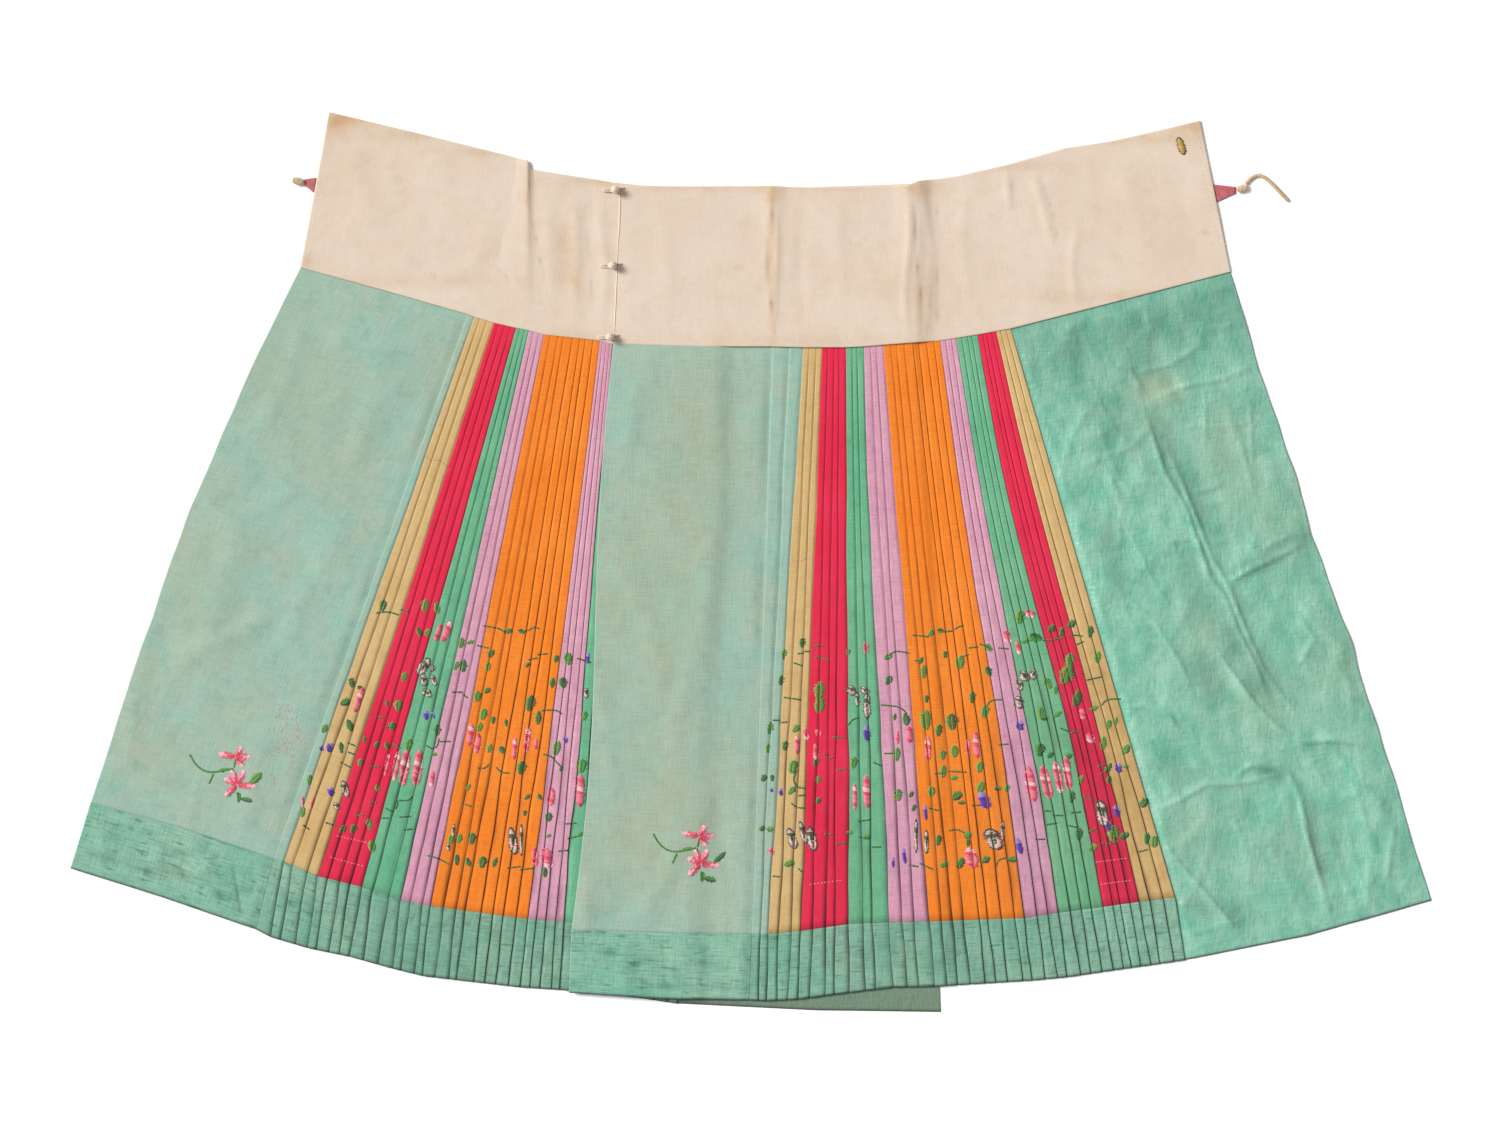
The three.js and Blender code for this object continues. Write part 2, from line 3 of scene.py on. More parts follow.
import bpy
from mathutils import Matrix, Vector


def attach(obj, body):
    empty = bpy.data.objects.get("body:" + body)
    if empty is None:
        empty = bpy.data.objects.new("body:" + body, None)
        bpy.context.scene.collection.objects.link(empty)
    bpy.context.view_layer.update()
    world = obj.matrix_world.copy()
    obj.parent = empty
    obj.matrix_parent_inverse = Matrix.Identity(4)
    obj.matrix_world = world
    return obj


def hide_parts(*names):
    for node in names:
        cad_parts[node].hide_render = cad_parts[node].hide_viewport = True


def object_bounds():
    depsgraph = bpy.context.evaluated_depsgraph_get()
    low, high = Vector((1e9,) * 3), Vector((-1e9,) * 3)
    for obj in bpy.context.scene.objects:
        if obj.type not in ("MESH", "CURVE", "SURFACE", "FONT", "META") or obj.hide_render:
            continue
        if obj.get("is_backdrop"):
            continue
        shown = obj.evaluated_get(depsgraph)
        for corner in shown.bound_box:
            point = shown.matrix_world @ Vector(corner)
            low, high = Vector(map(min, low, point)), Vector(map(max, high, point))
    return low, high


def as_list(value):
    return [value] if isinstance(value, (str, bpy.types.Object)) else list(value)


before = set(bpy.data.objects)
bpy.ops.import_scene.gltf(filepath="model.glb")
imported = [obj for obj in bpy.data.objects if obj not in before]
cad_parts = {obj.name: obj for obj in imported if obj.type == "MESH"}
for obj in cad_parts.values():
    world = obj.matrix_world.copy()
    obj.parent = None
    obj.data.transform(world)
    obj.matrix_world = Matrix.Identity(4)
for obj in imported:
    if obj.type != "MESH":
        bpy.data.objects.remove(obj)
CAD_BOX = [list(corner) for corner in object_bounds()]

import logging
import math
from collections.abc import Callable, Iterator, Sequence
from dataclasses import dataclass, field
from enum import Enum

import bpy
import numpy as np
from mathutils import Vector
from mathutils.bvhtree import BVHTree

log = logging.getLogger("skirt")

MM = 0.001
Point = tuple[float, float]

# Heights down a half of the skirt: 0 is the waist seam, 1 the hem band's seam, 2 the hem edge.
HEM_EDGE = 2.0
SKIRT_MM, BAND_MM, WAISTBAND_MM = 690.0, 80.0, 185.0

# Heights in millimetres of the solids that the cloth lies in.
SOLID_WALL, SOLID_GAP, WAIST_WALL = 1.0, 0.3, 2.0
ON_PLEATS = 3 * SOLID_WALL + 3 * SOLID_GAP
ON_PANEL = SOLID_WALL + SOLID_GAP
ON_WAISTBAND = WAIST_WALL + SOLID_GAP

# The middle of each of a pleat's three layers, and the cloth's own thickness.
LAYER = (0.3, 0.85, 1.45)
CLOTH = 0.4
FOLD_SHARE = 0.55
MEETING_SHARE = 0.4
PLEAT_UNEVEN = 0.12


class Cloth(Enum):
    """The cloths that the skirt is sewn from."""

    PALE = "pale_silk"
    TAN = "tan_silk"
    RED = "red_silk"
    GREEN = "green_silk"
    LILAC = "lilac_silk"
    ORANGE = "orange_silk"
    SATIN = "satin_lining"
    BAND = "hem_facing"
    COTTON = "cotton"
    TAB = "tab_cloth"


class Part(Enum):
    """How much of a folded edge a piece of cloth holds."""

    WHOLE = "whole"
    START = "start"
    END = "end"


# Small helpers.


def smooth(x: np.ndarray | float) -> np.ndarray:
    """A soft step from 0 to 1 over x from 0 to 1."""
    t = np.clip(x, 0.0, 1.0)
    return t * t * (3 - 2 * t)


def ripple(seed: float, x: np.ndarray) -> np.ndarray:
    """Uneven waves along a line, about -1 to 1, the same for the same seed."""
    waves = ((0.37, 0.45), (1.0, 0.55), (2.3, 0.3), (4.1, 0.12))
    return sum(p * np.sin(2 * math.pi * t * x + seed * (3.1 + 1.7 * i) + i) for i, (t, p) in enumerate(waves))


def patchy(x: np.ndarray, y: np.ndarray, seed: int) -> np.ndarray:
    """Smooth two-way noise, about -1 to 1.

    Args:
        x: Places across, in lengths of one patch.
        y: Places down, in lengths of one patch.
        seed: Picks the pattern.

    Returns:
        The noise at each place.
    """
    size = 64
    lattice = np.random.default_rng(seed).uniform(-1, 1, (size, size))
    xi, yi = np.floor(x).astype(int), np.floor(y).astype(int)
    fx, fy = smooth(x - xi), smooth(y - yi)

    def corner(i: int, j: int) -> np.ndarray:
        """The lattice's value at a corner of each cell."""
        return lattice[(xi + i) % size, (yi + j) % size]

    low = corner(0, 0) * (1 - fx) + corner(1, 0) * fx
    high = corner(0, 1) * (1 - fx) + corner(1, 1) * fx
    return low * (1 - fy) + high * fy


def linear(hexa: str, alpha: float = 1.0) -> tuple[float, float, float, float]:
    """An sRGB hex colour as linear red, green, blue and alpha."""
    parts = [int(hexa.lstrip("#")[i : i + 2], 16) / 255 for i in (0, 2, 4)]
    red, green, blue = (c / 12.92 if c <= 0.04045 else ((c + 0.055) / 1.055) ** 2.4 for c in parts)
    return (red, green, blue, alpha)


def node(tree: bpy.types.NodeTree, kind: str, inputs: dict | None = None, **settings) -> bpy.types.Node:
    """Adds a node.

    Args:
        tree: The tree that gets it.
        kind: Blender's name of the node type.
        inputs: Values or linked output sockets, by input name or number.
        settings: Properties of the node itself.

    Returns:
        The new node.
    """
    made = tree.nodes.new(kind)
    for key, value in settings.items():
        setattr(made, key, value)
    for key, value in (inputs or {}).items():
        if isinstance(value, bpy.types.NodeSocket):
            tree.links.new(value, made.inputs[key])
        else:
            made.inputs[key].default_value = value
    return made


def linked(name: str, data: bpy.types.ID) -> bpy.types.Object:
    """A new object in the scene."""
    made = bpy.data.objects.new(name, data)
    bpy.context.scene.collection.objects.link(made)
    return made


# Folds and stains.


@dataclass(frozen=True)
class Fold:
    """A crease in cloth, as a ridge between two points, or a trough where its height is negative."""

    start: Point
    end: Point
    width: float
    height: float
    bend: float = 0.0
    sharp: bool = False

    def lift(self, x: np.ndarray, y: np.ndarray) -> np.ndarray:
        """How high it stands at places in millimetres, dying away at its ends."""
        dx, dy = self.end[0] - self.start[0], self.end[1] - self.start[1]
        length = math.hypot(dx, dy)
        along = ((x - self.start[0]) * dx + (y - self.start[1]) * dy) / length**2
        near = np.clip(along, 0, 1)
        across = ((x - self.start[0]) * dy - (y - self.start[1]) * dx) / length
        across = across - self.bend * np.sin(math.pi * near)
        across = across - 0.05 * length * 0.3 * np.sin(near * 7 + self.start[0])
        beyond = np.abs(along - near) * length
        away = np.hypot(across, beyond) / self.width
        shape = np.exp(-1.6 * away) if self.sharp else np.exp(-away * away)
        return self.height * smooth((np.minimum(near, 1 - near) + 0.04) / 0.3) * shape


@dataclass(frozen=True)
class Crest:
    """A long crease through several points, as a ridge that is sharp at its top and dies away at its ends."""

    points: tuple[Point, ...]
    width: float
    height: float

    def lift(self, x: np.ndarray, y: np.ndarray) -> np.ndarray:
        """How high it stands at places in millimetres."""
        best, at, run = np.full(x.shape, 1e9), np.zeros(x.shape), 0.0
        for (ax, ay), (bx, by) in zip(self.points[:-1], self.points[1:]):
            dx, dy = bx - ax, by - ay
            length = math.hypot(dx, dy)
            near = np.clip(((x - ax) * dx + (y - ay) * dy) / length**2, 0, 1)
            away = np.hypot(x - ax - near * dx, y - ay - near * dy)
            at = np.where(away < best, run + near * length, at)
            best = np.minimum(best, away)
            run += length
        fade = smooth(np.minimum(at, run - at) / (0.22 * run) + 0.08)
        shape = 0.45 * np.exp(-best / 2.2) + 0.55 * np.exp(-1.6 * best / self.width)
        return self.height * fade * shape * (0.8 + 0.2 * np.sin(at / 23 + run))


@dataclass(frozen=True)
class Soil:
    """A stained or browned place, as a soft oval."""

    place: Point
    size: Point
    strength: float

    def depth(self, x: np.ndarray, y: np.ndarray) -> np.ndarray:
        """How dark it is at places in millimetres."""
        away = ((x - self.place[0]) / self.size[0]) ** 2 + ((y - self.place[1]) / self.size[1]) ** 2
        return self.strength * np.exp(-away)


def travelled(points: np.ndarray) -> np.ndarray:
    """How far along a line each of its points lies."""
    return np.concatenate([[0], np.cumsum(np.linalg.norm(np.diff(points, axis=0), axis=1))])


def pairs(row: Sequence[float]) -> tuple[Point, ...]:
    """Points from a row of x and y in turn."""
    return tuple(zip(row[::2], row[1::2]))


def folds(*rows: Sequence[float]) -> tuple[Fold, ...]:
    """Creases from rows: x and y of both ends, width, height, and then bend and whether it is sharp."""
    return tuple(Fold(*pairs(row[:4]), *row[4:]) for row in rows)


def crests(*rows: Sequence[float]) -> tuple[Crest, ...]:
    """Long creases from rows: width, height, and then x and y of every point."""
    return tuple(Crest(pairs(row[2:]), *row[:2]) for row in rows)


def soils(*rows: Sequence[float]) -> tuple[Soil, ...]:
    """Stains from rows: x and y, width and height, and how dark it is."""
    return tuple(Soil(*pairs(row[:4]), row[4]) for row in rows)


def lifted(creases: Sequence[Fold | Crest], x: np.ndarray, y: np.ndarray) -> np.ndarray:
    """The joined height of folds at places: the highest ridge, less the deepest trough."""
    high, low = np.zeros_like(x), np.zeros_like(x)
    for crease in creases:
        lift = crease.lift(x, y)
        high, low = np.maximum(high, lift), np.minimum(low, lift)
    return high + low


def soiled(stains: Sequence[Soil], x: np.ndarray, y: np.ndarray) -> np.ndarray:
    """The joined darkness of stains at places."""
    return np.clip(sum((stain.depth(x, y) for stain in stains), np.zeros_like(x)), 0, 1)


# The cut of a half.


@dataclass(frozen=True)
class Seam:
    """A seam line of a half, from the waist to the hem, in millimetres."""

    name: str
    waist: Point
    band: Point
    hem: Point
    cloth: Cloth | None = None
    pleats: int = 0
    bow: float = 0.0
    wave: float = 0.0
    rough: float = 0.0


@dataclass(frozen=True)
class Drop:
    """Where the upper half comes down over an edge under it, as shares between two seam lines."""

    line: str
    following: str
    waist: float
    hem: float
    wide: float
    fall: float


@dataclass(frozen=True)
class Half:
    """One of the two lapped halves: its seam lines from left to right, and how high it lies."""

    name: str
    seams: tuple[Seam, ...]
    base: float = 0.0
    drops: tuple[Drop, ...] = ()

    def index(self, name: str) -> int:
        """The number of a seam line, from its name."""
        return next(i for i, seam in enumerate(self.seams) if seam.name == name)

    def rows(self, down: np.ndarray) -> "Rows":
        """The half's rows at these heights down it."""
        return Rows(self, np.asarray(down, float))


class Rows:
    """Rows across a half: each is measured in millimetres along the line through its seam points."""

    def __init__(self, half: Half, down: np.ndarray) -> None:
        """Finds every seam line's point on every row.

        Args:
            half: The half of the skirt.
            down: The rows' heights down it.
        """
        self.half, self.down = half, down
        self.run = self.down_mm() / SKIRT_MM
        upper = np.minimum(down, 1.0)[:, None]
        lower = np.maximum(down - 1.0, 0.0)[:, None]
        lines = []
        for seam in half.seams:
            waist, band, hem = (np.array(p, float) for p in (seam.waist, seam.band, seam.hem))
            line = waist + (band - waist) * upper + (hem - band) * lower
            inside = np.clip(upper[:, 0], 0, 1)
            line[:, 0] += seam.bow * np.sin(math.pi * inside) + seam.wave * np.sin(2 * math.pi * inside)
            line[:, 0] += seam.rough * np.sin(math.pi * inside) * ripple(4.0, inside * 3.2)
            lines.append(line)
        self.points = np.stack(lines, axis=1)
        steps = np.linalg.norm(np.diff(self.points, axis=1), axis=2)
        self.at = np.concatenate([np.zeros((len(down), 1)), np.cumsum(steps, axis=1)], axis=1)

    def down_mm(self) -> np.ndarray:
        """How far each row lies along the cloth from the waist seam, in millimetres."""
        return np.where(self.down <= 1, self.down * SKIRT_MM, SKIRT_MM + (self.down - 1) * BAND_MM)

    def line(self, name: str) -> np.ndarray:
        """Where a seam line crosses each row."""
        return self.at[:, self.half.index(name)]

    def place(self, across: np.ndarray) -> tuple[np.ndarray, np.ndarray]:
        """The x and y of places across, one row of them for each row."""
        x, y = np.empty_like(across), np.empty_like(across)
        for k, (row, at, points) in enumerate(zip(across, self.at, self.points)):
            x[k], y[k] = np.interp(row, at, points[:, 0]), np.interp(row, at, points[:, 1])
        return x, y

    def base(self, across: np.ndarray) -> np.ndarray:
        """How high the half lies at places across."""
        base = np.full_like(across, self.half.base)
        for drop in self.half.drops:
            start, end = self.line(drop.line)[:, None], self.line(drop.following)[:, None]
            begins = drop.waist + (drop.hem - drop.waist) * np.clip(self.down, 0, 1)[:, None]
            base -= drop.fall * smooth(((across - start) / (end - start) - begins) / drop.wide)
        return base

    def edges(self) -> "Edges":
        """The folded edges of all pleats, each a little uneven down its length."""
        places, faces, names = [], [], []
        for i, seam in enumerate(self.half.seams):
            for k in range(seam.pleats):
                uneven = PLEAT_UNEVEN * math.sin(2.1 * len(places)) if k else 0.0
                share = (k + uneven) / seam.pleats
                right = seam.name == "orange" and k >= seam.pleats / 2
                faces.append(1 if right or (faces and faces[-1] > 0) else -1)
                places.append(self.at[:, i] + (self.at[:, i + 1] - self.at[:, i]) * share)
                names.append("" if k else seam.name)
        last = next(i for i, seam in enumerate(self.half.seams) if seam.cloth is Cloth.SATIN)
        places.append(self.at[:, last].copy())
        faces.append(1)
        names.append(self.half.seams[last].name)
        s = np.stack(places, axis=1)
        pitch = np.diff(s, axis=1)
        wide = np.concatenate([pitch, pitch[:, -1:]], axis=1)
        sway = smooth(self.down / 0.25) * (1.0 - 0.25 * smooth((self.down - 1) / 0.9))
        for e in range(1, len(faces) - 1):
            seed = 7.3 * e + len(self.half.name)
            lower = smooth((self.down - 0.35) / 0.4)
            wobble = 0.10 * ripple(seed, self.run * 1.5) + 0.06 * lower * ripple(seed + 2.0, self.run * 3.5)
            s[:, e] += wide[:, e] * sway * wobble
        deep = np.empty_like(s)
        for e, face in enumerate(faces):
            share = FOLD_SHARE if faces[e - face] == face else MEETING_SHARE
            deep[:, e] = share * np.abs(s[:, e - face] - s[:, e])
        return Edges(s, faces, names, deep)


@dataclass(frozen=True)
class Edges:
    """Folded edges: their places on each row, the way that each faces, and how deep its fold is."""

    s: np.ndarray
    faces: list[int]
    names: list[str]
    deep: np.ndarray

    def find(self, name: str) -> int:
        """The number of the edge on a seam line."""
        return self.names.index(name)


@dataclass
class Path:
    """A row of cloth as it is folded, for every row at once: columns of places, heights and painted shade."""

    across: list[np.ndarray] = field(default_factory=list)
    height: list[np.ndarray] = field(default_factory=list)
    groove: list[np.ndarray] = field(default_factory=list)

    def add(self, across: np.ndarray, height: np.ndarray, groove: np.ndarray | float = 0.0) -> None:
        """Adds a column.

        Args:
            across: Its place on each row.
            height: Its height on each row.
            groove: How far it lies in the dark of a fold.
        """
        self.across.append(across)
        self.height.append(height)
        # The painted shade: how much darker the column is coloured for lying in the dark of a fold.
        self.groove.append(np.broadcast_to(groove, across.shape))


class Pleating:
    """Lays a row of cloth out as knife pleats and flat stretches."""

    # Where the cloth has a point between its folds, as a share of their depth: going under, and coming back.
    UNDER, BACK = 0.55, 0.4
    # The distance over which cloth comes free of an edge that lies over it.
    EASED_MM = 9.0

    def __init__(self, rows: Rows, flat_step: float = 5.0) -> None:
        """Keeps the rows, their edges and the height of each layer.

        Args:
            rows: The rows to fold.
            flat_step: The spacing of points on flat cloth, in millimetres.
        """
        self.rows, self.edges, self.flat_step = rows, rows.edges(), flat_step
        pressed = 0.42 + 0.58 * smooth(rows.down / 0.06)
        self.low, self.middle, self.top = (pressed * z + 0.06 * (1 - pressed) for z in LAYER)
        self.loose = smooth((rows.down - 0.15) / 0.8)

    def turn(self, path: Path, e: int, part: Part) -> None:
        """Adds the folds at one edge, from left to right along the cloth."""
        s, deep, face = self.edges.s[:, e], self.edges.deep[:, e], self.edges.faces[e]
        proud = self.top * (1 + 0.10 * self.loose * ripple(3.3 * e, self.rows.run * 3))
        outer, inner = (proud - self.middle) / 2, (self.middle - self.low) / 2
        columns: list[tuple] = []
        # Each column's second number is its painted shade: the edge itself a little, the cloth that turns
        # under into the fold fully.
        for degrees, dark in ((90, 0.15), (40, 0.55), (-10, 1.0), (-50, 1.0), (-90, 1.0)):
            a = math.radians(degrees)
            out = s - face * outer * (1 - math.cos(a))
            columns.append((out, self.middle + outer * (1 + math.sin(a)), dark))
        columns.append((s - face * self.UNDER * deep, self.middle, 1.0))
        for degrees in (90, 150, 210, 270):
            a = math.radians(degrees)
            back = s - face * (deep - inner)
            columns.append((back + face * inner * math.cos(a), self.low + inner * (1 + math.sin(a)), 1.0))
        columns += [(s - face * self.BACK * deep, self.low, 1.0), (s, self.low, 1.0)]
        upper, lower = columns[:7], columns[9:]
        kept = {
            Part.WHOLE: columns,
            Part.START: lower if face > 0 else upper,
            Part.END: upper if face > 0 else lower,
        }[part]
        for column in kept if face > 0 else reversed(kept):
            path.add(*column)

    def slope(self, path: Path, left: int, right: int, count: int = 8) -> None:
        """Adds what shows between two edges: a slope up to the edge, or flat between two that face away."""
        a, b = path.across[-1], self._start(right)
        rises, falls = self.edges.faces[right] > 0, self.edges.faces[left] < 0
        seed = 5.1 * left
        for i in range(1, count):
            t = i / count
            t = 1 - (1 - t) ** 1.25 if falls and not rises else t**1.25 if rises and not falls else t
            s = a + (b - a) * t
            up = np.full_like(s, 1.0)
            if rises != falls:
                up = smooth((t if rises else 1 - t) / (0.32 + 0.07 * ripple(seed, self.rows.run * 2)))
            puff = 1 + 0.06 * self.loose * ripple(seed + t, self.rows.run * 4) * math.sin(math.pi * t)
            z = self.low + (self.top - self.low) * up * puff
            # Painted shade at the foot of a slope, where the next fold steps down: a dark line, wider and more
            # uneven lower down.
            foot = 99.0 if rises == falls else np.abs(s - a) if rises else np.abs(b - s)
            gape = 0.7 + (1.25 if falls else 1.2) * self.loose
            gape = gape * (1 + 0.45 * ripple(seed + 1, self.rows.run * 5))
            gape = gape * (1 + 0.4 * ripple(seed + 3, self.rows.run * 1.4))
            path.add(s, z, np.exp(-((foot / np.maximum(gape, 0.3)) ** 1.5)))

    def _start(self, e: int) -> np.ndarray:
        """Where the cloth reaches an edge's folds from the left."""
        if self.edges.faces[e] > 0:
            return self.edges.s[:, e] - (self.top - self.middle) / 2
        return self.edges.s[:, e]

    def flat(self, path: Path, start: np.ndarray, end: np.ndarray, ends: bool) -> None:
        """Adds flat cloth between two places, with its first point, and its last where it ends there."""
        count = max(2, int(np.max(end - start) / self.flat_step))
        shares = np.linspace(0, 1, count + 1)
        rim = 1.2 / max(np.max(end - start), 1)
        shares = np.unique(np.concatenate([shares, [rim, 1 - rim]]))
        for t in shares if ends else shares[:-1]:
            path.add(start + (end - start) * t, self.low)

    def darken(self, path: Path, most: float = 1.0) -> None:
        """Sets how dark the painted shade in the folds is: less near the waist, where they lie pressed."""
        dark = most * (0.10 + 0.90 * smooth((self.rows.down - 0.05) / 0.95))
        path.groove = [groove * dark for groove in path.groove]

    def ease(self, path: Path, left: int | None = None, right: int | None = None) -> np.ndarray:
        """How free each point is to rise: not at the waist seam, nor near an edge that lies over it.

        Args:
            path: The cloth.
            left: The edge that ends it on the left.
            right: The edge that ends it on the right.

        Returns:
            Shares from 0 to 1.
        """
        s = np.stack(path.across, axis=1)
        free = np.ones_like(s) * smooth(self.rows.down / 0.025)[:, None]
        if left is not None:
            free *= smooth((s - self.edges.s[:, left][:, None] - 1.5) / self.EASED_MM)
        if right is not None:
            free *= smooth((self.edges.s[:, right][:, None] - s - 1.0) / self.EASED_MM)
        return free

    def section(self, first: int, last: int) -> Path:
        """The path of a pleated piece from one edge to another."""
        path = Path()
        for e in range(first, last + 1):
            self.turn(path, e, Part.START if e == first else Part.END if e == last else Part.WHOLE)
            if e < last:
                self.slope(path, e, e + 1)
        return path


# Cloth as a mesh.


class Laid:
    """A piece of cloth laid as a thin shell."""

    def __init__(self, name: str, rows: "Rows | WaistRows", path: Path, relief: Callable, *,
                 wall: float | np.ndarray = CLOTH, raised: float = 0.0, soils: Sequence[Soil] = (),
                 creases: Sequence[Fold] = (), trim: bool = False, ease: np.ndarray | float = 1.0) -> None:
        """Works out the grid of points.

        Args:
            name: The piece's name.
            rows: The rows that it covers.
            path: How each row is folded.
            relief: The added height at x and y, in millimetres.
            wall: The cloth's thickness in millimetres.
            raised: How much higher the whole piece lies, in millimetres.
            soils: Its stains.
            creases: Creases along which its colour is painted darker, as the shade in them.
            trim: Whether its last row is the dark edging of the hem.
            ease: How free each point is to rise: 0 where it is sewn down or lies under other cloth.
        """
        self.name, self.rows = name, rows
        s, z = np.stack(path.across, axis=1), np.stack(path.height, axis=1)
        step_s, step_z = np.gradient(s, axis=1), np.gradient(z, axis=1)
        size = np.maximum(np.hypot(step_s, step_z), 1e-9)
        normal_s, normal_z = -step_z / size, step_s / size
        steps = np.hypot(np.diff(s, axis=1), np.diff(z, axis=1))
        self.arc = np.concatenate([np.zeros((len(s), 1)), np.cumsum(steps, axis=1)], axis=1)
        mid_x, mid_y = rows.place(s)
        lift = rows.base(s) + np.maximum(relief(mid_x, mid_y), 0.0) * ease + raised
        self.sides = []
        for way in (0.5, -0.5):
            x, y = rows.place(s + normal_s * wall * way)
            self.sides.append(np.stack([x, y, z + normal_z * wall * way + lift], axis=2))
        # Painted shade: the folds' own, with the darkness painted along the creases.
        self.groove = np.clip(np.stack(path.groove, axis=1) + lifted(creases, mid_x, mid_y), 0, 1)
        self.soil = soiled(soils, mid_x, mid_y)
        self.trim = np.zeros_like(s)
        if trim:
            self.trim[-1:], self.trim[-2:-1] = 0.85, 0.3

    def cut(self) -> tuple[float, float, float]:
        """The flat cloth's width, length and area, in metres and square metres."""
        levels = self.rows.down_mm()
        widths = self.arc[:, -1]
        area = float(np.sum((widths[1:] + widths[:-1]) / 2 * np.diff(levels)))
        wide, long = float(widths.max()), float(levels[-1] - levels[0])
        return wide * MM, long * MM, max(area, 0.3 * wide * long) * MM * MM

    def build(self) -> bpy.types.Object:
        """Makes the closed shell, with its cloth coordinates and attributes."""
        upper, lower = self.sides
        rows, columns = upper.shape[:2]
        verts = np.concatenate([upper.reshape(-1, 3), lower.reshape(-1, 3)]) * MM
        index = np.arange(rows * columns).reshape(rows, columns)
        under = index + rows * columns
        a, b, c, d = index[:-1, :-1], index[1:, :-1], index[1:, 1:], index[:-1, 1:]
        e, f, g, h = under[:-1, :-1], under[:-1, 1:], under[1:, 1:], under[1:, :-1]

        def quads(*corners: np.ndarray) -> np.ndarray:
            """Faces from four arrays of corners."""
            return np.stack([corner.reshape(-1) for corner in corners], axis=1)

        faces = np.concatenate([
            quads(a, b, c, d), quads(e, f, g, h),
            quads(index[:-1, 0], under[:-1, 0], under[1:, 0], index[1:, 0]),
            quads(index[:-1, -1], index[1:, -1], under[1:, -1], under[:-1, -1]),
            quads(index[0, :-1], index[0, 1:], under[0, 1:], under[0, :-1]),
            quads(index[-1, :-1], under[-1, :-1], under[-1, 1:], index[-1, 1:]),
        ])
        mesh = bpy.data.meshes.new(self.name)
        mesh.from_pydata(verts.tolist(), [], faces.tolist())
        mesh.polygons.foreach_set("use_smooth", np.ones(len(faces), bool))
        fall = np.broadcast_to(-self.rows.down_mm()[:, None], self.arc.shape)
        flat = np.stack([self.arc, fall], axis=2) * MM
        flat = np.concatenate([flat.reshape(-1, 2)] * 2)
        corners = np.zeros(len(mesh.loops), np.int32)
        mesh.loops.foreach_get("vertex_index", corners)
        layer = mesh.uv_layers.new(name="cloth")
        layer.data.foreach_set("uv", flat[corners].astype(np.float32).ravel())
        for name, values in (("groove", self.groove), ("soil", self.soil), ("trim", self.trim)):
            attribute = mesh.attributes.new(name, "FLOAT", "POINT")
            attribute.data.foreach_set("value", np.concatenate([values.ravel()] * 2).astype(np.float32))
        mesh.update()
        return linked(self.name, mesh)


# Finishes.


@dataclass(frozen=True)
class Finish:
    """The finish of a surface: one shader, whose inputs each kind of finish works out."""

    name: str

    def inputs(self, tree: bpy.types.NodeTree) -> dict:
        """The shader's inputs."""
        return {}

    def material(self) -> bpy.types.Material:
        """Builds the material."""
        made = bpy.data.materials.new(self.name)
        made.use_nodes = True
        tree = made.node_tree
        tree.nodes.clear()
        shader = node(tree, "ShaderNodeBsdfPrincipled", self.inputs(tree))
        node(tree, "ShaderNodeOutputMaterial", {"Surface": shader.outputs[0]})
        return made


def mottled(tree: bpy.types.NodeTree, place: bpy.types.NodeSocket, scale: Sequence[float],
            detail: float = 2.0, roughness: float = 0.5, distortion: float = 0.0,
            turn: float = 0.0) -> bpy.types.NodeSocket:
    """Draws a cloudy pattern.

    Args:
        tree: The material's nodes.
        place: The coordinates that it lies on.
        scale: How many patches a metre has along each axis.
        detail: How many finer layers it has.
        roughness: How strong they are.
        distortion: How far they are pulled about.
        turn: How far the axes are turned.

    Returns:
        The strength, about 0.5 on average.
    """
    drawn = node(tree, "ShaderNodeMapping", {"Vector": place, "Scale": scale, "Rotation": (0, 0, turn)})
    noise = node(tree, "ShaderNodeTexNoise", {
        "Vector": drawn.outputs[0], "Scale": 1.0, "Detail": detail, "Roughness": roughness,
        "Distortion": distortion})
    return noise.outputs["Fac"]


def creased(tree: bpy.types.NodeTree, pattern: bpy.types.NodeSocket) -> bpy.types.NodeSocket:
    """How far a cloudy pattern is from its middle: 0 along thin winding lines."""
    away = node(tree, "ShaderNodeMath", {0: pattern, 1: 0.5}, operation="SUBTRACT").outputs[0]
    return node(tree, "ShaderNodeMath", {0: away}, operation="ABSOLUTE").outputs[0]


def tinged(tree: bpy.types.NodeTree, colour: bpy.types.NodeSocket, hexa: str, pattern: bpy.types.NodeSocket,
           low: float = 0.0, high: float = 1.0, most: float = 1.0) -> bpy.types.NodeSocket:
    """Mixes a second colour in where a pattern is strong.

    Args:
        tree: The material's nodes.
        colour: The colour so far.
        hexa: The second colour.
        pattern: The pattern's strength.
        low: The strength where the colour starts to show.
        high: The strength where it shows most.
        most: The most that it shows.

    Returns:
        The mixed colour.
    """
    share = node(tree, "ShaderNodeMapRange", {
        "Value": pattern, "From Min": low, "From Max": high, "To Min": 0.0, "To Max": most}).outputs[0]
    mixed = node(tree, "ShaderNodeMix", {"Factor": share, 6: colour, 7: linear(hexa)}, data_type="RGBA")
    return mixed.outputs[2]


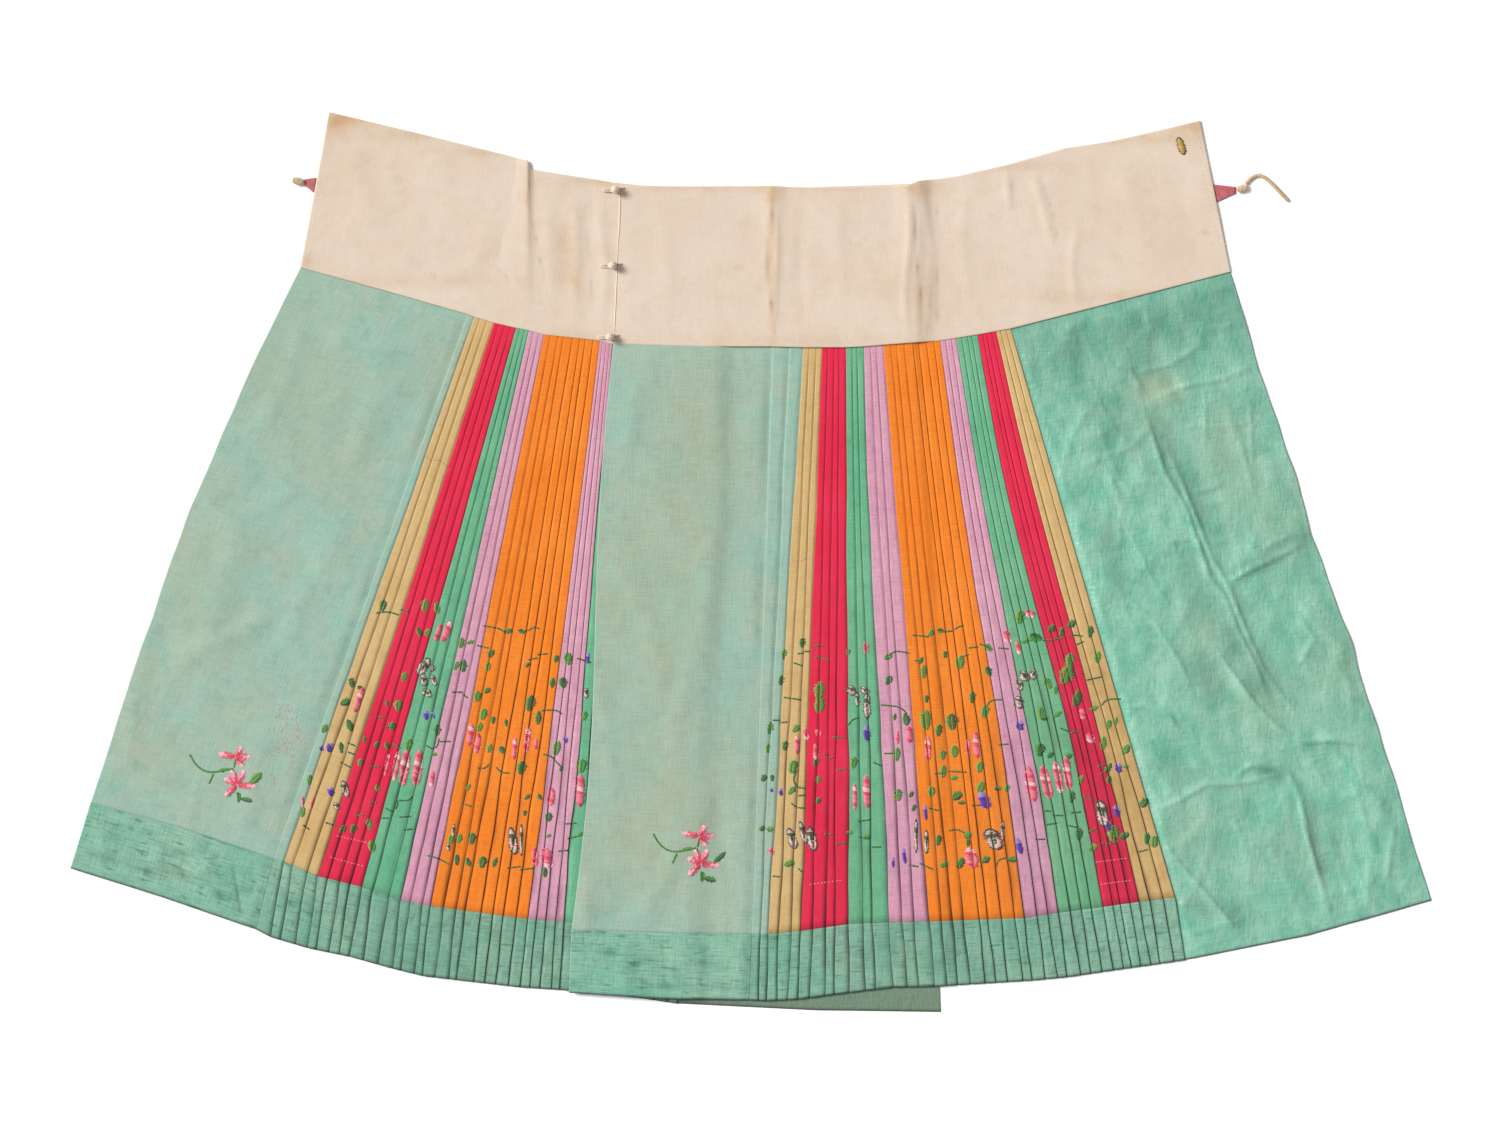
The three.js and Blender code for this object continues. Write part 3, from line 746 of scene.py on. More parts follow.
@dataclass(frozen=True)
class WovenCloth(Finish):
    """Plain-woven cloth: matt, with slubs both ways, cloudy fading and browned places."""

    colour: str
    faded: str
    deeper: str
    soiled: str
    # The colour painted into folds and creases as their shade.
    dark: str
    edging: str = "#2B2A22"
    slub_mm: float = 1.3
    slub: float = 0.10
    cloud_mm: float = 90.0
    cloud: float = 0.7
    streak: float = 0.3
    roughness: float = 0.85
    sheen: float = 0.15
    specular: float = 0.3
    weave: float = 0.25
    relief_m: float = 0.0008
    streak_scale: Point = (90.0, 7.0)
    # How strong the painted shade of short crease lines along the hem is.
    crinkle_shade: float = 0.0

    def inputs(self, tree: bpy.types.NodeTree) -> dict:
        """The shader's inputs, with the patterns in real millimetres on the cloth."""
        texture = node(tree, "ShaderNodeTexCoord")
        colour, height = self.weave_of(tree, texture)
        height = self.crumple_of(tree, texture, height)
        return {
            "Base Color": colour, "Roughness": self.roughness, "Sheen Weight": self.sheen,
            "Sheen Roughness": 0.5, "Specular IOR Level": self.specular,
            "Normal": node(tree, "ShaderNodeBump", {
                "Strength": self.weave, "Distance": self.relief_m, "Height": height}).outputs[0],
        }

    def crumple_of(self, tree: bpy.types.NodeTree, texture: bpy.types.Node,
                   height: bpy.types.NodeSocket) -> bpy.types.NodeSocket:
        """Adds nothing to the weave's height: flat-woven cloth has no crumple of its own."""
        return height

    def crinkled(self, tree: bpy.types.NodeTree, cloth: bpy.types.NodeSocket,
                 colour: bpy.types.NodeSocket) -> bpy.types.NodeSocket:
        """Paints short dark lines along the hem, as the shade in the creases of a gathered facing."""
        lines, gaps = (mottled(tree, cloth, scale, 1.5) for scale in ((13, 190, 1), (60, 110, 1)))
        line = node(tree, "ShaderNodeMapRange", {
            "Value": creased(tree, lines), "From Max": 0.05, "To Min": self.crinkle_shade,
            "To Max": 0.0}).outputs[0]
        broken = node(tree, "ShaderNodeMapRange", {"Value": gaps, "From Min": 0.48, "From Max": 0.62})
        line = node(tree, "ShaderNodeMath", {0: line, 1: broken.outputs[0]}, operation="MULTIPLY").outputs[0]
        return tinged(tree, colour, self.dark, line)

    def weave_of(self, tree: bpy.types.NodeTree,
                 texture: bpy.types.Node) -> tuple[bpy.types.NodeSocket, bpy.types.NodeSocket]:
        """Draws the threads, clouds, streaks, and the painted shade of folds and creases.

        Args:
            tree: The material's nodes.
            texture: Its texture coordinates.

        Returns:
            The colour and the height of the weave.
        """
        place, cloth = texture.outputs["Object"], texture.outputs["UV"]
        fine, long = 1000 / self.slub_mm, 1000 / (14 * self.slub_mm)
        threads = [mottled(tree, cloth, scale, 2.0, 0.6) for scale in ((long, fine, 1), (fine, long, 1))]
        woven = node(tree, "ShaderNodeMath", {0: threads[0], 1: threads[1]}, operation="ADD").outputs[0]
        clouds = mottled(tree, place, [1000 / self.cloud_mm] * 3, 5.0, 0.62, 0.4)
        specks = mottled(tree, place, [1000 / (self.cloud_mm * 0.28)] * 3, 4.0, 0.7)
        streaks = mottled(tree, cloth, (*self.streak_scale, 1), 3.0, 0.6)
        plain = node(tree, "ShaderNodeRGB").outputs[0]
        plain.default_value = linear(self.colour)
        colour = tinged(tree, plain, self.faded, clouds, 0.38, 0.66, self.cloud)
        colour = tinged(tree, colour, self.deeper, specks, 0.5, 0.78, self.cloud)
        colour = tinged(tree, colour, self.faded, streaks, 0.45, 0.75, self.streak)
        if self.crinkle_shade:
            colour = self.crinkled(tree, cloth, colour)
        soil, groove, trim = (node(tree, "ShaderNodeAttribute", attribute_name=name).outputs["Fac"]
                              for name in ("soil", "groove", "trim"))
        grain = node(tree, "ShaderNodeMapRange", {
            "Value": specks, "From Min": 0.3, "From Max": 0.7, "To Min": 0.55, "To Max": 1.3}).outputs[0]
        soil = node(tree, "ShaderNodeMath", {0: soil, 1: grain}, operation="MULTIPLY", use_clamp=True)
        colour = tinged(tree, colour, self.soiled, soil.outputs[0])
        shade = node(tree, "ShaderNodeMapRange", {
            "Value": woven, "From Min": 0.7, "From Max": 1.3,
            "To Min": 1 - self.slub, "To Max": 1 + self.slub}).outputs[0]
        colour = node(tree, "ShaderNodeVectorMath", {0: colour, "Scale": shade}, operation="SCALE").outputs[0]
        # Mixes in the painted shade of the folds, then the dark edging of the hem.
        return tinged(tree, tinged(tree, colour, self.dark, groove), self.edging, trim), woven


@dataclass(frozen=True)
class CrumpledSatin(WovenCloth):
    """Satin lining that was folded small and never pressed: a soft gloss that fine crumples break up."""

    crumple: float = 0.6
    crumple_mm: float = 16.0

    def crumple_of(self, tree: bpy.types.NodeTree, texture: bpy.types.Node,
                   height: bpy.types.NodeSocket) -> bpy.types.NodeSocket:
        """Adds fine crumples to the weave's height: short creases along both threads, and some across."""
        total = node(tree, "ShaderNodeMath", {0: height, 1: 0.05}, operation="MULTIPLY").outputs[0]
        size, narrow = 1000 / self.crumple_mm, 3600 / self.crumple_mm
        for scale, turn, amount in (((size, narrow, 1), 0.08, 0.9), ((narrow, size, 1), -0.05, 0.9),
                                    ((size, size, 1), 0.6, 1.1)):
            ridges = mottled(tree, texture.outputs["Object"], scale, distortion=0.25, turn=turn)
            total = node(tree, "ShaderNodeMath", {
                0: creased(tree, ridges), 1: -self.crumple * amount * 4, 2: total},
                operation="MULTIPLY_ADD").outputs[0]
        return total


@dataclass(frozen=True)
class SewingThread(Finish):
    """Twisted silk or cotton thread: each stitch has its own colour and catches a little light."""

    roughness: float = 0.5
    sheen: float = 0.3
    specular: float = 0.4

    def inputs(self, tree: bpy.types.NodeTree) -> dict:
        """The shader's inputs: the colour is the stitch's own tint, with a fine grain."""
        tint = node(tree, "ShaderNodeAttribute", attribute_name="tint").outputs["Color"]
        place = node(tree, "ShaderNodeTexCoord").outputs["Object"]
        grain = node(tree, "ShaderNodeTexNoise", {"Vector": place, "Scale": 900.0, "Detail": 2.0})
        shade = node(tree, "ShaderNodeMapRange", {
            "Value": grain.outputs["Fac"], "From Min": 0.3, "From Max": 0.7,
            "To Min": 0.86, "To Max": 1.1}).outputs[0]
        colour = node(tree, "ShaderNodeVectorMath", {0: tint, "Scale": shade}, operation="SCALE").outputs[0]
        return {"Base Color": colour, "Roughness": self.roughness, "Sheen Weight": self.sheen,
                "Specular IOR Level": self.specular}


@dataclass(frozen=True)
class PaintedTable(Finish):
    """Matt white board under the skirt, without any pattern to draw the eye."""

    name: str = "matt_white_board"
    colour: str = "#FDFDFD"

    def inputs(self, tree: bpy.types.NodeTree) -> dict:
        """The shader's inputs: white, without gloss."""
        return {"Base Color": linear(self.colour), "Roughness": 0.95, "Specular IOR Level": 0.0}


# Small round things.


class Shape:
    """Gathers closed bodies into one mesh, in millimetres."""

    def __init__(self) -> None:
        """Starts with nothing."""
        self.verts: list[np.ndarray] = []
        self.faces: list[tuple[int, ...]] = []
        self.count = 0

    def add(self, verts: np.ndarray, faces: Sequence[tuple[int, ...]]) -> None:
        """Adds a body's points and faces."""
        self.verts.append(verts)
        self.faces.extend(tuple(i + self.count for i in f) for f in faces)
        self.count += len(verts)

    def tube(self, points: np.ndarray, radius: float | np.ndarray, sides: int = 8, flat: float = 1.0,
             loop: bool = False) -> None:
        """Adds a tube along points, with round ends or closed on itself.

        Args:
            points: Its middle line.
            radius: Its radius, or one for each point.
            sides: The number of its sides.
            flat: Its height as a share of its width.
            loop: Whether it runs back into its start.
        """
        points = np.asarray(points, float)
        radius = np.broadcast_to(radius, (len(points),)).astype(float)
        if loop:
            along = np.roll(points, -1, 0) - np.roll(points, 1, 0)
        else:
            along = np.gradient(points, axis=0)
            first = points[0] - along[0] / np.linalg.norm(along[0]) * radius[0] * 0.5
            last = points[-1] + along[-1] / np.linalg.norm(along[-1]) * radius[-1] * 0.5
            points = np.vstack([first, points, last])
            radius = np.concatenate([[radius[0] * 0.62], radius, [radius[-1] * 0.62]])
            along = np.vstack([along[:1], along, along[-1:]])
        along /= np.linalg.norm(along, axis=1)[:, None]
        side = np.cross(along, (0.0, 0.0, 1.0))
        weak = np.linalg.norm(side, axis=1) < 0.2
        side[weak] = np.cross(along[weak], (0.0, 1.0, 0.0))
        for i in range(1, len(side)):
            if np.dot(side[i], side[i - 1]) < 0:
                side[i] = -side[i]
        side /= np.linalg.norm(side, axis=1)[:, None]
        up = np.cross(side, along)
        turns = np.linspace(0, 2 * math.pi, sides, endpoint=False)
        ring = radius[:, None, None] * (np.cos(turns)[None, :, None] * side[:, None, :]
                                        + flat * np.sin(turns)[None, :, None] * up[:, None, :])
        verts = (points[:, None, :] + ring).reshape(-1, 3)
        faces = []
        total = len(points)
        for k in range(total if loop else total - 1):
            for j in range(sides):
                a, b = k * sides + j, k * sides + (j + 1) % sides
                c, d = (b + sides) % (total * sides), (a + sides) % (total * sides)
                faces.append((a, b, c, d))
        if not loop:
            faces.append(tuple(reversed(range(sides))))
            faces.append(tuple(range((total - 1) * sides, total * sides)))
        self.add(verts, faces)

    def twist(self, points: np.ndarray, radius: float, pitch: float, strands: int = 2) -> None:
        """Adds a cord twisted from strands along points."""
        points = dense(np.asarray(points, float), pitch / 7)
        along = np.gradient(points, axis=0)
        size = np.linalg.norm(along, axis=1)
        along /= size[:, None]
        side = np.cross(along, (0.0, 0.0, 1.0))
        side /= np.maximum(np.linalg.norm(side, axis=1), 1e-6)[:, None]
        up = np.cross(side, along)
        for n in range(strands):
            angle = 2 * math.pi * (travelled(points) / pitch + n / strands)
            middle = points + 0.48 * radius * (np.cos(angle)[:, None] * side + np.sin(angle)[:, None] * up)
            self.tube(middle, radius * 0.56, sides=6)

    def ball(self, centre: Sequence[float], size: Sequence[float], around: int = 16, rings: int = 10) -> None:
        """Adds an ellipsoid."""
        verts, faces = [(0, 0, 1)], []
        for i in range(1, rings):
            a = math.pi * i / rings
            turns = [2 * math.pi * j / around for j in range(around)]
            verts += [(math.sin(a) * math.cos(t), math.sin(a) * math.sin(t), math.cos(a)) for t in turns]
        verts.append((0, 0, -1))
        last = len(verts) - 1
        for j in range(around):
            n = (j + 1) % around
            faces.append((0, 1 + j, 1 + n))
            faces.append((last, last - around + n, last - around + j))
            for i in range(rings - 2):
                a, b = 1 + i * around + j, 1 + i * around + n
                faces.append((a, a + around, b + around, b))
        self.add(np.array(verts) * np.array(size) + np.array(centre), faces)

    def build(self, name: str, soil: float = 0.0) -> bpy.types.Object:
        """Makes the object, browned by the given share."""
        mesh = bpy.data.meshes.new(name)
        mesh.from_pydata((np.vstack(self.verts) * MM).tolist(), [], self.faces)
        mesh.polygons.foreach_set("use_smooth", np.ones(len(mesh.polygons), bool))
        browned = mesh.attributes.new("soil", "FLOAT", "POINT")
        browned.data.foreach_set("value", np.full(len(mesh.vertices), soil, np.float32))
        mesh.update()
        return linked(name, mesh)


def dense(points: np.ndarray, step: float) -> np.ndarray:
    """The same line through points, with a point at about every step, rounded at its corners."""
    smoothed = points
    for _ in range(2):
        if len(smoothed) > 2:
            quarter = smoothed[:-1] * 0.75 + smoothed[1:] * 0.25
            three = smoothed[:-1] * 0.25 + smoothed[1:] * 0.75
            middle = np.stack([quarter, three], axis=1).reshape(-1, 3)
            smoothed = np.vstack([smoothed[:1], middle[1:-1], smoothed[-1:]])
    at = travelled(smoothed)
    places = np.linspace(0, at[-1], max(3, int(at[-1] / step) + 1))
    return np.stack([np.interp(places, at, smoothed[:, i]) for i in range(3)], axis=1)


# Stitches.


class Silk(Enum):
    """The colours of the threads."""

    LIME = "#699A38"
    LEAF = "#3E8530"
    DEEP_LEAF = "#235926"
    STEM = "#32682A"
    ROSE = "#DE3F5E"
    PINK = "#EC6F84"
    BLUSH = "#F7B4BE"
    PURPLE = "#51289A"
    VIOLET = "#9480C4"
    CREAM = "#BFB3A0"
    BLACK = "#46383A"
    GOLD = "#C09A3C"
    OLIVE = "#5C4724"
    FADED_PINK = "#C4819A"
    TACKING = "#EBA4AC"
    TAN = "#DBBD98"
    # The colour of the line of stitches that paints the shadow at the lap.
    BROWN = "#A08064"


class Needle:
    """Lays stitches on what shows of the cloth, and turns them into one mesh with Geometry Nodes."""

    SPAN, STEP, THICK, HIGH = 0.8, 0.6, 0.35, 60.0

    def __init__(self, ground: BVHTree, seed: int) -> None:
        """Starts with no stitches.

        Args:
            ground: The upper side of all cloth, in millimetres.
            seed: Picks the threads' small differences.
        """
        self.ground, self.chance = ground, np.random.default_rng(seed)
        self.places: list[tuple[float, float, float]] = []
        self.turns: list[tuple[float, float, float]] = []
        self.sizes: list[tuple[float, float, float]] = []
        self.tints: list[tuple[float, float, float, float]] = []

    def stitch(self, start: Point, end: Point, wide: float, silk: Silk, lift: float = 0.1) -> None:
        """Sews one stitch, which the step of a fold cuts in two.

        Args:
            start: Where it comes up.
            end: Where it goes down.
            wide: Its width.
            silk: Its colour.
            lift: How far it lies above the cloth.
        """
        steps = max(1, round(math.dist(start, end) / self.SPAN))
        run: list[Vector] = []
        for i in range(steps + 1):
            x, y = (start[j] + (end[j] - start[j]) * i / steps for j in (0, 1))
            hit = self.ground.ray_cast((x, y, self.HIGH), (0, 0, -1))[0]
            if hit is None or (run and abs(hit.z - run[-1].z) > self.STEP):
                self.lay(run, wide, silk, lift)
                run = []
            if hit is not None:
                run.append(hit)
        self.lay(run, wide, silk, lift)

    def lay(self, run: list[Vector], wide: float, silk: Silk, lift: float) -> None:
        """Keeps the stitch over a run of points, if there is one."""
        if len(run) < 2:
            return
        along = run[-1] - run[0]
        middle = (run[0] + run[-1]) / 2
        bulge = max(point.z - (run[0].z + along.z * i / (len(run) - 1)) for i, point in enumerate(run))
        self.places.append((middle.x * MM, middle.y * MM, (middle.z + bulge + lift) * MM))
        self.turns.append(tuple(along.to_track_quat("X", "Z").to_euler()))
        self.sizes.append(((along.length + 0.6) * MM, wide * MM, self.THICK * MM))
        shade = float(np.clip(self.chance.normal(1, 0.1), 0.7, 1.3))
        red, green, blue, alpha = linear(silk.value)
        self.tints.append((red * shade, green * shade, blue * shade, alpha))

    def build(self, name: str, slot: Cloth, thread: bpy.types.Material,
              bulk: float = 1.0) -> bpy.types.Object:
        """Makes the stitches one plain mesh.

        Args:
            name: The piece's name.
            slot: Not used.
            thread: The material.
            bulk: How round the stitches are.

        Returns:
            The finished piece.
        """
        cloud = bpy.data.meshes.new(name)
        cloud.from_pydata(self.places, [], [])
        for label, kind, field_name, values in (("turn", "FLOAT_VECTOR", "vector", self.turns),
                                                ("size", "FLOAT_VECTOR", "vector", self.sizes),
                                                ("tint", "FLOAT_COLOR", "color", self.tints)):
            attribute = cloud.attributes.new(label, kind, "POINT")
            attribute.data.foreach_set(field_name, np.array(values, np.float32).ravel())
        places = linked(f"{name}_places", cloud)
        modifier = places.modifiers.new("stitches", "NODES")
        modifier.node_group, sockets = self.grow(thread)
        modifier[sockets["Bulk"]] = bulk
        modifier[sockets["Seed"]] = 5
        modifier[sockets["Unevenness"]] = 0.25
        seen = places.evaluated_get(bpy.context.evaluated_depsgraph_get())
        mesh = bpy.data.meshes.new_from_object(seen)
        bpy.data.objects.remove(places)
        mesh.name = name
        made = linked(name, mesh)
        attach(made, "root")
        return made

    @staticmethod
    def grow(thread: bpy.types.Material) -> tuple[bpy.types.NodeTree, dict[str, str]]:
        """Builds the node tree that puts a thread on every point.

        Args:
            thread: The material.

        Returns:
            The tree, and the identifier of each input by name.
        """
        tree = bpy.data.node_groups.new("stitches", "GeometryNodeTree")
        sockets = {}
        for label, kind in (("Stitches", "NodeSocketGeometry"), ("Bulk", "NodeSocketFloat"),
                            ("Unevenness", "NodeSocketFloat"), ("Seed", "NodeSocketInt")):
            sockets[label] = tree.interface.new_socket(label, in_out="INPUT", socket_type=kind).identifier
        tree.interface.new_socket("Threads", in_out="OUTPUT", socket_type="NodeSocketGeometry")
        given = node(tree, "NodeGroupInput").outputs
        turn, size = (
            next(out for out in node(tree, "GeometryNodeInputNamedAttribute", {"Name": label},
                                     data_type="FLOAT_VECTOR").outputs if out.enabled)
            for label in ("turn", "size"))
        least = node(tree, "ShaderNodeMath", {0: given["Bulk"], 1: given["Unevenness"]}, operation="SUBTRACT")
        most = node(tree, "ShaderNodeMath", {0: given["Bulk"], 1: given["Unevenness"]}, operation="ADD")
        uneven = node(tree, "FunctionNodeRandomValue", {
            2: least.outputs[0], 3: most.outputs[0], "Seed": given["Seed"]}, data_type="FLOAT").outputs[1]
        stretch = node(tree, "ShaderNodeCombineXYZ", {"X": 1.0, "Y": 1.0, "Z": uneven}).outputs[0]
        scale = node(tree, "ShaderNodeVectorMath", {0: size, 1: stretch}, operation="MULTIPLY").outputs[0]
        grain = node(tree, "GeometryNodeMeshIcoSphere", {"Radius": 0.5, "Subdivisions": 1}).outputs[0]
        placed = node(tree, "GeometryNodeInstanceOnPoints", {
            "Points": given["Stitches"], "Instance": grain, "Rotation": turn, "Scale": scale}).outputs[0]
        real = node(tree, "GeometryNodeRealizeInstances", {"Geometry": placed}).outputs[0]
        rounded = node(tree, "GeometryNodeSetShadeSmooth", {"Geometry": real, "Shade Smooth": True})
        dressed = node(tree, "GeometryNodeSetMaterial", {
            "Geometry": rounded.outputs[0], "Material": thread}).outputs[0]
        node(tree, "NodeGroupOutput", {0: dressed})
        return tree, sockets


@dataclass(frozen=True)
class Embroidery:
    """Flowers, leaves, vines and butterflies in satin stitch, of the maker's usual kinds."""

    needle: Needle
    pitch: float = 0.85
    thread: float = 1.15

    def patch(self, place: Point, tall: float, wide: float, turn: float, silks: Sequence[Silk],
              lift: float = 0.1) -> None:
        """Fills a petal with stitches across it.

        Args:
            place: Its middle.
            tall: Its length.
            wide: Its greatest width.
            turn: The way that it points, in degrees.
            silks: The colours of its bands, from its foot to its tip.
            lift: How far it lies above the cloth.
        """
        ax, ay = math.cos(math.radians(turn)), math.sin(math.radians(turn))
        rows = max(2, round(tall / self.pitch))
        for i in range(rows):
            t = (i + 0.5) / rows
            half = wide / 2 * (1 - abs(2 * t - 1) ** 4) ** 0.6 * (1 + 0.12 * self.needle.chance.normal())
            along = (t - 0.5) * tall
            x, y = place[0] + ax * along, place[1] + ay * along
            tip = 0.3 * half
            self.needle.stitch((x - ay * -half - ax * tip, y + ax * -half - ay * tip),
                               (x - ay * half + ax * tip, y + ax * half + ay * tip),
                               self.thread, silks[min(int(t * len(silks)), len(silks) - 1)], lift)

    def leaf(self, place: Point, long: float, turn: float, narrow: float = 0.62) -> None:
        """A leaf, as two halves of slanted stitches that meet at its rib."""
        ax, ay = math.cos(math.radians(turn)), math.sin(math.radians(turn))
        rows = max(3, round(long / self.pitch))
        widths = narrow * self.needle.chance.uniform(0.7, 1.35, 2)
        dark = self.needle.chance.random() < 0.55
        light, deep = (Silk.LEAF, Silk.DEEP_LEAF) if dark else (Silk.LIME, Silk.LEAF)
        for i in range(rows):
            t = (i + 0.5) / rows
            shape = math.sin(math.pi * min(1.0, 0.12 + t * 0.9)) ** 0.8
            shape = shape * (1 + 0.16 * self.needle.chance.normal())
            x, y = place[0] + ax * (t - 0.5) * long, place[1] + ay * (t - 0.5) * long
            for side, silk, share in ((1, light, widths[0]), (-1, deep, widths[1])):
                half = long * share / 2 * shape
                end = (x - ay * half * side + ax * half * 0.5, y + ax * half * side + ay * half * 0.5)
                self.needle.stitch((x, y), end, self.thread, silk)

    def vine(self, points: Sequence[Point], wide: float = 2.4, silk: Silk = Silk.STEM, gap: float = -0.4,
             length: float = 2.6) -> None:
        """A line of stitches along points, close together or with gaps."""
        line = dense(np.array([(x, y, 0.0) for x, y in points]), length)
        for a, b in zip(line[:-1], line[1:]):
            end = a + (b - a) * (1 - gap)
            self.needle.stitch((a[0], a[1]), (end[0], end[1]), wide, silk)

    def blossom(self, centre: Point, petals: Sequence[tuple[float, float, float]]) -> None:
        """A flower with narrow petals, dark at their foot and pale at their tip."""
        for turn, long, wide in petals:
            ax, ay = math.cos(math.radians(turn)), math.sin(math.radians(turn))
            middle = (centre[0] + ax * long * 0.56, centre[1] + ay * long * 0.56)
            self.patch(middle, long, wide * 1.45, turn, (Silk.ROSE, Silk.PINK, Silk.PINK, Silk.BLUSH))
            self.patch(middle, long * 0.7, wide * 0.3, turn, (Silk.ROSE, Silk.BLUSH), 0.3)

    def sprig(self, x: float, y: float) -> None:
        """Two blossoms on one stem, with its leaves."""
        for points in (((-56, 36), (-49, 23), (-37, 15), (-24, 15), (-6, 19)), ((-28, 13), (-33, 2)),
                       ((-4, 20), (-2, 30)), ((-5, 19), (-3, 8)), ((0, -8), (1, -18))):
            self.vine([(x + px, y + py) for px, py in points], 2.9, Silk.LEAF)
        for px, py, long, turn in ((22, 8, 20, 42), (2, -15, 12, -95), (11, -18, 15, -14), (-16, 18, 12, 12)):
            self.leaf((x + px, y + py), long, turn, 0.4)
        self.blossom((x - 2, y + 32), ((165, 19, 6), (58, 14, 6), (4, 17, 6.5), (-48, 13, 6)))
        self.blossom((x, y), ((152, 16, 6), (108, 18, 5.5), (62, 18, 6), (-4, 21, 6), (-138, 18, 6.5)))

    def wing(self, place: Point, tall: float, wide: float, turn: float) -> None:
        """A slice of a butterfly's wing: dark outside, with cream and green within."""
        self.patch(place, tall, wide, turn, (Silk.BLACK,))
        inside = (Silk.CREAM, Silk.BLUSH, Silk.CREAM, Silk.OLIVE, Silk.CREAM)
        self.patch(place, tall * 0.84, wide * 0.78, turn, inside, 0.3)
        self.patch(place, tall * 0.45, wide * 0.3, turn, (Silk.LEAF, Silk.BLACK, Silk.DEEP_LEAF), 0.5)


# The garment's tables.

LEFT_HALF = Half("left", (
    Seam("outer edge", (-530, 346), (-777, -285), (-800, -360), bow=-17, wave=-2, rough=1.5),
    Seam("panel middle", (-427, 318), (-668, -315), (-692, -394), bow=-7),
    Seam("panel pleat", (-333, 291), (-562, -351), (-582, -432), Cloth.PALE, 1),
    Seam("tan_1", (-325, 288), (-550, -354), (-565, -441), Cloth.TAN, 3),
    Seam("red_1", (-302, 281), (-509, -372), (-521, -454), Cloth.RED, 4),
    Seam("green_1", (-276, 275), (-459, -384), (-472, -464), Cloth.GREEN, 3),
    Seam("lilac_1", (-261, 272), (-412, -400), (-422, -478), Cloth.LILAC, 3),
    Seam("orange", (-243, 267), (-376, -407), (-385, -487), Cloth.ORANGE, 8),
    Seam("lilac_2", (-178, 260), (-263, -422), (-272, -500), Cloth.LILAC, 4),
    Seam("green_2", (-163, 256.03), (-221, -425), (-225, -503), Cloth.GREEN, 3),
    Seam("red_2", (-129, 255.03), (-173, -432), (-174, -508), Cloth.RED, 3),
    Seam("tan_2", (-107, 254.38), (-129, -436), (-129, -513), Cloth.TAN, 3),
    Seam("covered panel", (-88, 253.82), (-88, -441), (-87, -519), Cloth.SATIN),
    Seam("covered middle", (46, 257), (72, -449), (75, -527)),
    Seam("covered edge", (184, 259), (220, -452), (223, -529)),
))
RIGHT_HALF = Half("right", (
    Seam("outer edge", (-162, 256), (-211, -434), (-214, -506), bow=3, wave=-5),
    Seam("panel middle", (-60, 253), (-107, -438), (-105, -513)),
    Seam("panel pleat", (25, 253), (1, -440), (-2, -515), Cloth.PALE, 2),
    Seam("tan_1", (62, 252), (20, -440), (19, -516), Cloth.TAN, 3),
    Seam("red_1", (84, 252), (59, -436), (55, -514), Cloth.RED, 4),
    Seam("green_1", (112, 252), (115, -428), (116, -506), Cloth.GREEN, 3),
    Seam("lilac_1", (133, 253), (161, -426), (167, -500), Cloth.LILAC, 3, wave=-2),
    Seam("orange", (156, 255), (210, -425), (216, -499), Cloth.ORANGE, 8),
    Seam("lilac_2", (222, 260), (322, -421), (331, -492), Cloth.LILAC, 3, wave=-2),
    Seam("green_2", (241, 263), (361, -415), (372, -488), Cloth.GREEN, 4, wave=-3),
    Seam("red_2", (266, 267), (414, -408), (426, -480), Cloth.RED, 4, wave=-5),
    Seam("tan_2", (288, 271), (456, -402), (469, -474), Cloth.TAN, 3, wave=-3),
    Seam("end panel", (305, 274), (499, -397), (510, -468), Cloth.SATIN),
    Seam("end middle", (434, 307), (634, -369), (655, -439)),
    Seam("end edge", (564, 341), (777, -328), (800, -398), wave=-3, rough=3.4),
), ON_PLEATS, (
    Drop("outer edge", "panel pleat", 0.62, 0.62, 0.16, ON_PLEATS - ON_PANEL),
    Drop("orange", "lilac_2", 0.5, 0.125, 0.125, ON_PANEL),
))


@dataclass(frozen=True)
class Station:
    """A point along a waistband: above which point of the waist seam, and where its top edge is."""

    line: str
    top: Point
    share: float = 0.0
    lift: float = 0.0
    base: float = 0.0


# The right waistband lies on the left one up to this x.
RIGHT_LAP = 200.0


def stations(*rows: tuple, lapped: float = -math.inf) -> tuple[Station, ...]:
    """Stations from rows.

    Args:
        rows: Each has the seam line, x and y at the top, the share of the way to the next line, and the lift.
        lapped: Left of this x the band lies on the other half's band.

    Returns:
        The stations.
    """
    return tuple(Station(line, (x, y), *rest, base=ON_WAISTBAND if x < lapped else 0.0)
                 for line, x, y, *rest in rows)


